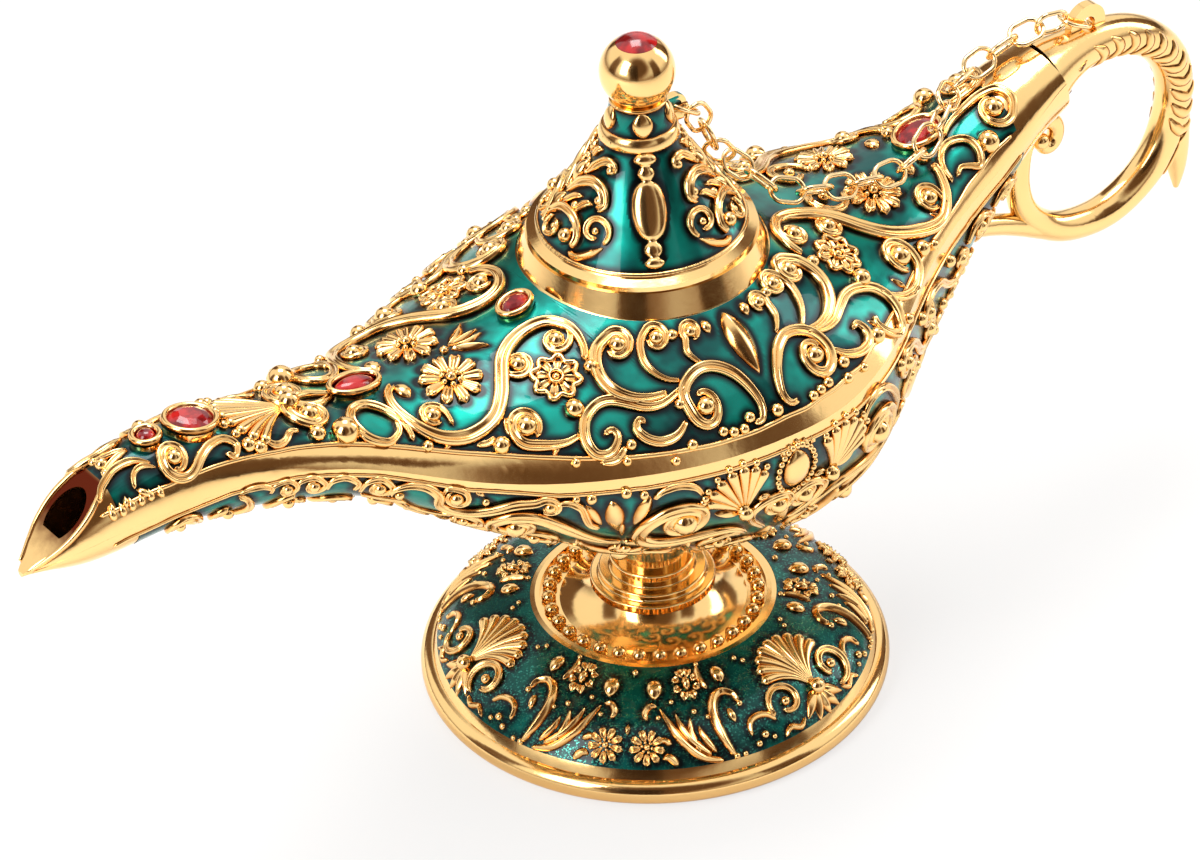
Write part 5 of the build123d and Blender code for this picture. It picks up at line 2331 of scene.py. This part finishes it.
@dataclass
class LidDress:
    """Raised gold and enamel of the lid: two columns and two crests."""

    shop: Workshop
    column: float = -119.5
    foot_height: float = 80.2
    top_height: float = 94.0
    rings: tuple[Point3, ...] = ((95.15, 2.3, 0.5), (80.0, 0.7, 0.35), (99.9, 0.5, 0.3))
    swellings: tuple[Point3, ...] = (
        (0.0, 2.9, 0.09), (0.17, 1.5, 0.06), (0.50, 3.9, 0.25), (0.815, 1.3, 0.05),
        (1.0, 3.2, 0.11),
    )
    crest: tuple[Strand, ...] = (
        Strand((
            (14.0, 89.4), (26.0, 91.3), (38.0, 92.4), (50.0, 92.2), (52.0, 91.0),
        ), width=1.1, height=0.8, ends=(0.4, 0.7)),
        Strand((
            (2.0, 85.6), (14.0, 88.0), (30.0, 89.2), (44.0, 88.8), (50.0, 87.2), (44.0, 86.2),
        ), width=1.35, height=0.95, ends=(0.4, 0.7)),
        Strand(((6.0, 84.4), (16.0, 86.2), (24.0, 86.8)), end=(22.0, 85.4, 0.8), width=0.8, height=0.7),
        Strand(((22.0, 84.6), (32.0, 86.4), (38.0, 86.6)), width=0.9, height=0.7),
        Strand((
            (-4.0, 81.0), (2.0, 82.6), (10.0, 84.1), (22.0, 84.5), (32.0, 84.0), (38.0, 82.6),
            (37.0, 81.2),
        ), width=1.1, height=0.9, ends=(0.5, 0.7)),
        Strand((
            (36.0, 80.8), (42.0, 80.7), (48.0, 81.2), (58.0, 82.5),
        ), width=1.1, height=0.7, section=Section.RIDGED, ends=(0.8, 0.2)),
        Strand(((10.0, 91.6), (16.0, 93.0), (24.0, 93.4)), width=0.8, height=0.6),
    )

    def build(self) -> None:
        """Build the lid's gold and enamel."""
        relief = Relief(ConeChart(Skin("lid")), 0.34)
        for turn in (0.0, 180.0):
            self.pillar(relief, self.column + turn)
            for side in SIDES:
                self.half_crest(relief, self.column + turn + 90.0, side)
            self.crown(relief, self.column + turn + 90.0)
            self.fill(relief, self.column + turn + 90.0)
        for k in range(5):
            relief.drop(self.column + 72.0 * k, 98.0, 3.9, 3.0, 90.0, 0.6)
        for height, width, rise in self.rings:
            ring = [(float(a), height) for a in range(-180, 180, 12)]
            relief.strand(ring, width, rise, closed=True)
        self.shop.gold(relief, "lid_scrolls", "lid_beads", LID)
        ground = EnamelGround(relief.gold)
        angles = even(-180.0, 180.0, 220, endpoint=False)
        for name, low, high, count in (
            ("lid_enamel", 80.1, 94.2, 60),
            ("neck_enamel", 96.0, 99.9, 14),
        ):
            heights = even(low, high, count)
            grid = np.array([[relief.chart.point(a, height) for a in angles] for height in heights])
            self.shop.enamel(ground, name, grid, grid * (1.0, 1.0, 0.0), LID, wrap=True)

    def pillar(self, relief: Relief, angle: float) -> None:
        """Lay one column of beads and a spindle, all in one piece.

        Args:
            relief: the lid's relief.
            angle: angle of the column in degrees.
        """

        def profile(along: Array) -> Array:
            """Give the width along the column."""
            bulges = [
                size * np.sqrt(np.maximum(0.0, 1.0 - ((along - at) / wide) ** 2))
                for at, size, wide in self.swellings
            ]
            return 1.25 + sum(bulges)

        def rise(along: Array) -> Array:
            """Give the height along the column."""
            return 0.35 + 0.17 * profile(along)

        points = [(angle, float(height)) for height in np.linspace(80.5, 94.4, 8)]
        relief.strand(points, profile, rise, Section.ROUND, ends=(1.0, 1.0))

    def fill(self, relief: Relief, middle: float) -> None:
        """Set small curls into one crest.

        Args:
            relief: the lid's relief.
            middle: angle of the crest's middle in degrees.
        """
        pairs = [
            (middle + float(turn), float(height))
            for height in np.arange(81.2, 93.4, 0.7)
            for turn in np.arange(-50.0, 51.0, 3.2)
            if height < self.top_height - abs(turn) * 0.05
        ]

        def wall(place: Array) -> float:
            """Give the distance to the lower and the upper ring."""
            height = float(place[2])
            return max(0.0, min(height - self.foot_height, self.top_height - height))

        Filler(relief, curl=1.7, most=30).fill(pairs, wall)

    def half_crest(self, relief: Relief, middle: float, side: float) -> None:
        """Lay one half of a crest.

        Args:
            relief: the lid's relief.
            middle: angle of the crest's middle in degrees.
            side: 1 or -1, the half's hand.
        """
        for strand in self.crest:
            points = tuple((middle + side * d, z) for d, z in strand.points)
            if strand.end:
                relief.bead(middle + side * strand.end[0], strand.end[1], 0.7)
            width, height = strand.width * 1.3, strand.height * 1.2
            relief.strand(points, width, height, strand.section, ends=strand.ends)
        relief.bead(middle + side * 29.0, 82.1, 1.15)
        relief.bead(middle + side * 47.0, 91.4, 0.7)
        relief.bead(middle + side * 44.0, 87.4, 0.8)
        for k in range(6):
            relief.bead(middle + side * (4.0 + 5.4 * k), 83.0 + 0.22 * k * (5 - k), 0.42)

    @staticmethod
    def crown(relief: Relief, middle: float) -> None:
        """Lay the oval and its beads in the middle of a crest.

        Args:
            relief: the lid's relief.
            middle: angle of the crest's middle in degrees.
        """
        relief.drop(middle, 88.6, 4.2, 2.4, 90.0, 1.1)
        local = TangentChart(relief.chart, middle, 88.6)
        for angle in even_angles(16):
            relief.bead(1.75 * math.cos(angle), 2.7 * math.sin(angle), 0.4, local, 0.6)
        relief.drop(middle, 84.0, 3.0, 2.0, 90.0, 0.9, Section.DISHED)
        relief.drop(middle, 92.6, 2.2, 1.2, 90.0, 0.8, Section.RIDGED)


@dataclass(frozen=True)
class Seat:
    """Where one stone sits: its middle, its directions and its half sizes."""

    middle: Array
    along: Array
    out: Array
    length: float
    width: float
    half: float

    def spot(self, x: float, y: float, z: float) -> Array:
        """Give the place at some lengths along, across and out of the stone."""
        across = np.cross(self.out, self.along)
        return self.middle + self.along * x + across * y + self.out * z


@dataclass
class Stones:
    """The red stones: cut or domed glass in place of the plain solids, and their gold rims."""

    shop: Workshop
    chart: Chart
    cut: tuple[str, ...] = ("spout_gem_large", "collar_gem", "tail_gem")
    domed: tuple[str, ...] = ("spout_gem_small", "bridge_gem")
    top: str = "finial_gem"
    pinched: str = "bridge_gem"
    pinch: float = 0.88
    bridge_x: float = -50.2
    sides: int = 16
    dome_sides: int = 40
    dome_rings: int = 9
    rim_sides: int = 48
    rim_offset: float = 0.38
    rim_width: float = 0.95
    rim_height: float = 0.62
    facet_rows: tuple[tuple[float, float, int, float], ...] = (
        (-1.0, 0.86, 16, 0.0), (0.12, 1.0, 16, 0.0), (0.62, 0.80, 16, 0.5), (1.0, 0.52, 8, 0.0),
    )

    def build(self) -> None:
        """Build each stone and its rim."""
        rims = Relief(self.chart)
        for node in self.cut + self.domed:
            seat = self.measure(node)
            piece = self.facets(node, seat) if node in self.cut else self.dome(node, seat)
            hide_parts(node)
            carry(piece, BODY)
            self.ring(rims, seat)
        self.shop.gold(rims, "stone_rims")
        mesh = frame["nodes"][self.top].data
        mesh.polygons.foreach_set("use_smooth", [True] * len(mesh.polygons))

    def measure(self, node: str) -> Seat:
        """Measure how a plain stone lies and how large it is.

        Args:
            node: the stone's CAD node.

        Returns:
            Its seat.
        """
        mesh = frame["nodes"][node].data
        places = np.array([tuple(part / MM for part in vertex.co) for vertex in mesh.vertices])
        middle = (places.max(axis=0) + places.min(axis=0)) / 2
        reach = 2.0 if abs(middle[0] - self.bridge_x) < 2.0 else 5.0
        ahead = self.chart.point(middle[0] + reach, 0.0) - self.chart.point(middle[0] - reach, 0.0)
        flat = [face for face in mesh.polygons if abs(face.normal[1]) < 0.02]
        flat.sort(key=lambda face: -face.area)
        out = np.array(flat[0].normal)
        if out[2] < 0:
            out = -out
        along = np.cross((0.0, 1.0, 0.0), out)
        along = along / np.linalg.norm(along)
        if along @ ahead < 0:
            along = -along
        off = places - middle
        length = float(np.abs(off @ along).max())
        width = float(np.abs(off[:, 1]).max())
        low, top = float((off @ out).min()), float((off @ out).max())
        return Seat(middle + out * (low + top) / 2, along, out, length, width, (top - low) / 2)

    def facets(self, node: str, seat: Seat) -> bpy.types.Object:
        """Cut one stone: a table, two rows of facets and a plain lower half.

        Args:
            node: the stone's CAD node.
            seat: how it lies.

        Returns:
            The cut stone.
        """
        points = [
            seat.spot(
                seat.length * reach * math.cos(angle),
                seat.width * reach * math.sin(angle),
                seat.half * rise,
            )
            for rise, reach, sides, shift in self.facet_rows
            for angle in even_angles(sides, shift)
        ]
        girdle, bevel, table = self.sides, 2 * self.sides, 3 * self.sides
        faces: list[tuple[int, ...]] = [tuple(reversed(range(self.sides)))]
        for k in range(self.sides):
            after = (k + 1) % self.sides
            faces.append((k, after, girdle + after, girdle + k))
            faces.append((girdle + k, girdle + after, bevel + k))
            faces.append((girdle + after, bevel + after, bevel + k))
            following = table + (k // 2 + 1) % (self.sides // 2)
            if k % 2:
                faces.append((bevel + k, bevel + after, following))
            else:
                faces.append((bevel + k, bevel + after, following, table + k // 2))
        faces.append(tuple(table + k for k in range(self.sides // 2)))
        piece = self.solid(node + "_cut", points, faces, self.shop.palette.cut_stone)
        piece.data.polygons.foreach_set("use_smooth", [False] * len(piece.data.polygons))
        return piece

    def dome(self, node: str, seat: Seat) -> bpy.types.Object:
        """Round one stone off.

        Args:
            node: the stone's CAD node.
            seat: how it lies.

        Returns:
            The domed stone.
        """
        sides, rings = self.dome_sides, self.dome_rings
        pinch = self.pinch if node == self.pinched else 1.0
        points = []
        for i in range(rings):
            share = i / (rings - 1)
            reach = max(0.02, math.cos(share * math.pi / 2) ** 0.75)
            rise = -1.0 + 2.0 * math.sin(share * math.pi / 2)
            for angle in even_angles(sides):
                narrow = abs(math.sin(angle)) ** (1.0 / pinch) * (1 if math.sin(angle) > 0 else -1)
                x, y = seat.length * reach * math.cos(angle), seat.width * reach * narrow
                points.append(seat.spot(x, y, seat.half * rise))
        faces = [tuple(reversed(range(sides)))] + grid_faces(rings, sides, False, True)
        faces.append(tuple((rings - 1) * sides + k for k in range(sides)))
        return self.solid(node + "_domed", points, faces, self.shop.palette.stone)

    @staticmethod
    def solid(
        name: str, points: list[Array], faces: list[tuple[int, ...]], finish: bpy.types.Material
    ) -> bpy.types.Object:
        """Make one stone of its points and faces.

        Args:
            name: name of the piece.
            points: its points, in millimetres.
            faces: its faces.
            finish: its finish.

        Returns:
            The stone.
        """
        draft = MeshDraft("pool")
        draft.add(np.array(points), np.zeros(len(points)), faces)
        return draft.build(name, finish)

    def ring(self, rims: Relief, seat: Seat) -> None:
        """Lay the rounded gold rim on a stone's setting.

        Args:
            rims: relief that gathers the rims.
            seat: how the stone lies.
        """
        level = replace(seat, middle=seat.spot(0.0, 0.0, seat.half * 0.05))
        length, width = seat.length + self.rim_offset, seat.width + self.rim_offset
        places = [
            level.spot(length * math.cos(angle), width * math.sin(angle), 0.0)
            for angle in even_angles(self.rim_sides)
        ]
        normals = np.repeat(seat.out[None, :], self.rim_sides, axis=0)
        wide = np.full(self.rim_sides, self.rim_width)
        high = np.full(self.rim_sides, self.rim_height)
        rims.sweep(np.array(places), normals, wide, high, closed=True)


@dataclass
class HandleDress:
    """Cuts of the handle's ring, and two ridges on each side."""

    shop: Workshop
    centre: Point = (85.5, 58.8)
    radius: float = 15.4
    feathers: int = 11
    first_feather: float = 96.0
    feather_gap: float = 11.5
    feather: tuple[Point, ...] = (
        (6.0, 48.0), (1.5, 68.0), (0.0, 92.0), (3.0, 118.0), (9.0, 142.0),
    )
    ridges: tuple[Point, ...] = ((-46.0, -18.0), (108.0, 128.0))

    def build(self) -> None:
        """Build the handle's raised work."""
        relief = Relief(TubeChart(Skin("handle"), self.centre, self.radius), 0.3)
        for k in range(self.feathers):
            turn = self.first_feather - self.feather_gap * k
            for side in SIDES:
                points = [(turn + ahead, side * round_tube) for ahead, round_tube in self.feather]
                relief.strand(points, 1.9, 0.34, Section.RIDGED, ends=(0.25, 0.25))
        for first, last in self.ridges:
            for side in SIDES:
                middle = ((first + last) / 2, side * 66.0)
                points = ((first, side * 62.0), middle, (last, side * 62.0))
                relief.strand(points, 0.9, 0.35, Section.RIDGED, ends=(0.2, 0.2))
        self.shop.gold(relief, "handle_feathers")


@dataclass
class MouthDress:
    """The lip of the spout: its rim and the row of drops behind it."""

    shop: Workshop
    chart: Chart
    tip: Point3 = (-105.0, 0.0, 67.9)
    top: Point3 = (-92.6, 0.0, 78.5)
    depth: float = 0.45
    start_side: float = 20.0
    rim_height: float = 0.62
    fringe_start: float = -93.4
    fringe_gap: float = 1.45

    def build(self) -> None:
        """Build the lip's raised work."""
        relief = Relief(self.chart)
        tip, top = np.array(self.tip), np.array(self.top)
        length = float(np.linalg.norm(top - tip))
        along = (top - tip) / np.linalg.norm(top - tip)
        out = np.array((-along[2], 0.0, along[0]))
        skin = Skin("lower_shell", "upper_shell")
        for side in SIDES:
            places = []
            for share in even(0.04, 0.98, 40):
                middle = tip + along * (length * share) - out * self.depth
                place = skin.drop(middle + (0.0, side * self.start_side, 0.0), (0.0, -side, 0.0))
                if place is not None:
                    places.append(place - (0.0, side * 0.25, 0.0))
            count = len(places)
            ways = np.repeat((out * 0.9 + np.array((0.0, side * 0.42, 0.0)))[None], count, axis=0)
            wide = np.interp(np.linspace(0, 1, count), (0, 0.2, 0.8, 1), (0.5, 0.8, 1.0, 0.5))
            relief.sweep(np.array(places), ways, wide, np.full(count, self.rim_height))
        for k in range(6):
            x = self.fringe_start + self.fringe_gap * k
            edge = relief_edge(x) + 0.15
            for side in SIDES:
                relief.drop(x, side * edge, 2.3 - 0.12 * k, 1.15, side * 105.0, 0.75, fullness=0.6)
        self.shop.gold(relief, "spout_lip")


# Studio
@dataclass
class Studio:
    """White paper, soft lights and the camera of the photograph."""

    azimuth: float = -35.7
    elevation: float = 36.225
    roll: float = 2.112
    focal: float = 5882.4
    distance: float = 848.5
    centre: Point = (646.39, 370.6)
    aim_height: float = 53.03
    image: tuple[int, int] = (1200, 860)
    sensor: float = 36.0
    lamp_aim: Point3 = (0.0, 0.0, 0.055)
    side_patch: Point3 = (0.15, -0.75, 0.25)
    warm: Colour = (1.0, 0.55, 0.30)
    pale: Colour = (1.0, 0.985, 0.965)
    white: Colour = (1.0, 1.0, 1.0)
    paper_half: float = 3.0

    def axes(self) -> tuple[Array, Array, Array]:
        """Turn the camera's three angles into directions.

        Returns:
            Its right, up and backward directions.
        """
        a, e, r = (math.radians(v) for v in (self.azimuth, self.elevation, self.roll))
        back = np.array((math.sin(a) * math.cos(e), -math.cos(a) * math.cos(e), math.sin(e)))
        right = np.array((math.cos(a), math.sin(a), 0.0))
        up = np.cross(back, right)
        turned = right * math.cos(r) - up * math.sin(r)
        upward = up * math.cos(r) + right * math.sin(r)
        return turned, upward, back

    def camera(self) -> None:
        """Set the camera up."""
        right, up, back = self.axes()
        width, height = self.image
        dx = (self.centre[0] - width / 2) / self.focal * self.distance
        dy = -(self.centre[1] - height / 2) / self.focal * self.distance
        place = np.array((0, 0, self.aim_height)) + back * self.distance - right * dx - up * dy
        data = bpy.data.cameras.new("camera")
        data.sensor_width = self.sensor
        data.lens = self.focal * self.sensor / width
        data.clip_start = 0.01
        data.clip_end = 10.0
        camera = show("camera", data)
        turn = Matrix((right, up, back)).transposed().to_4x4()
        camera.matrix_world = Matrix.Translation(Vector(place * MM)) @ turn
        bpy.context.scene.camera = camera

    def lamp(self, name: str, place: Point, height: float, size: Point, power: float) -> None:
        """Hang one soft light that faces the object.

        Args:
            name: name of the light.
            place: direction in degrees and distance in metres, on the floor.
            height: height in metres.
            size: width and height of the light in metres.
            power: power in watts.
        """
        data = bpy.data.lights.new(name, "AREA")
        data.shape = "RECTANGLE"
        data.size, data.size_y = size
        data.energy = power
        light = show(name, data)
        light.location = Vector((*polar(place[1], math.radians(place[0])), height))
        aim = Vector(self.lamp_aim) - light.location
        light.rotation_euler = aim.to_track_quat("-Z", "Y").to_euler()

    def world(self) -> None:
        """Light the room: pale all round, dark behind the camera and in two gaps."""
        world = bpy.data.worlds.new("room")
        bpy.context.scene.world = world
        world.use_nodes = True
        sheet = ShaderSheet(world.node_tree)
        way = sheet.add("ShaderNodeTexCoord", output="Generated")
        dark = sheet.agreement(way, self.axes()[2]).ramp(0.75, 0.93)
        patch = np.array(self.side_patch)
        side = sheet.agreement(way, patch / np.linalg.norm(patch)).ramp(0.88, 0.97)
        x, y, height = (sheet.part(way, name) for name in "XYZ")
        around = sheet.add("ShaderNodeMath", {"operation": "ARCTAN2"}, {0: y, 1: x})
        waves = sheet.add("ShaderNodeMath", {"operation": "SINE"}, {0: around * 5.0 + 0.9})
        cards = waves.ramp(0.30, 0.62) * (1 - height.ramp(0.62, 0.80))
        shade = (1 - dark * 0.90) * (1 - side * 0.30) * (1 - cards * 0.86)
        shade = shade * height.ramp(-0.05, 0.30, 0.25, 1.0)
        path = sheet.add("ShaderNodeLightPath", output="Is Camera Ray")
        values = {0: path, 2: shade * 1.04 + 0.02, 3: 1.0}
        level = sheet.add("ShaderNodeMix", {"data_type": "FLOAT"}, values)
        tint = sheet.blend(shade.ramp(0.0, 0.6), self.warm, self.pale)
        tint = sheet.blend(path, tint, self.white)
        back = sheet.add("ShaderNodeBackground", {}, {"Color": tint, "Strength": level})
        sheet.add("ShaderNodeOutputWorld", {}, {"Surface": back})

    def floor(self) -> None:
        """Lay the paper."""
        mesh = bpy.data.meshes.new("paper")
        size = self.paper_half
        corners = [(-size, -size, 0), (size, -size, 0), (size, size, 0), (-size, size, 0)]
        mesh.from_pydata(corners, [], [(0, 1, 2, 3)])
        mesh.materials.append(FloorFinish("white_paper").material())
        show("paper", mesh)

    def build(self) -> None:
        """Set up the studio."""
        self.camera()
        self.world()
        self.floor()
        self.lamp("left_soft", (190.0, 0.75), 0.55, (0.32, 0.6), 4.2)
        self.lamp("top_soft", (60.0, 0.25), 0.85, (0.4, 0.4), 4.2)
        self.lamp("right_soft", (-12.0, 0.85), 0.45, (0.25, 0.6), 1.6)
        bpy.context.scene.view_settings.view_transform = "Standard"


@dataclass
class Metal:
    """CAD nodes that are shown as they are, each in its finish."""

    palette: Palette
    gold_nodes: tuple[str, ...] = (
        "foot", "stem", "lower_shell", "upper_shell", "mouth_collar", "lid", "finial_ball",
        "handle",
    )
    steel_nodes: tuple[str, ...] = ("stem_bolt", "stem_washer")
    stones: tuple[str, ...] = (
        "spout_gem_small", "spout_gem_large", "bridge_gem", "collar_gem", "tail_gem",
        "finial_gem",
    )
    links: int = 21

    def build(self) -> None:
        """Dress every node."""
        for node in self.gold_nodes:
            shell = node in ("lower_shell", "upper_shell")
            dress(node, self.palette.shell if shell else self.palette.gold)
        for node in self.steel_nodes:
            dress(node, self.palette.steel)
        for node in self.stones:
            dress(node, self.palette.stone)
        for number in range(1, self.links + 1):
            dress(f"chain_link_{number:02d}", self.palette.wire)
        log.info("dressed %d nodes", len(frame["nodes"]))


def main() -> None:
    """Build every sub-assembly in order."""
    logging.basicConfig(level=logging.INFO, format="%(name)s %(message)s")
    for start in [o for o in bpy.data.objects if o.name in ("Cube", "Light", "Camera")]:
        bpy.data.objects.remove(start)
    palette = Palette()
    shop = Workshop(palette, BeadMaker())
    Metal(palette).build()
    upper = PlanChart(Skin("upper_shell"))
    Shoulder(shop, upper).build()
    Bowl(shop).build()
    Foot(shop).build()
    LidDress(shop).build()
    Stones(shop, upper).build()
    HandleDress(shop).build()
    MouthDress(shop, upper).build()
    Studio().build()


if __name__ == "__main__":
    main()
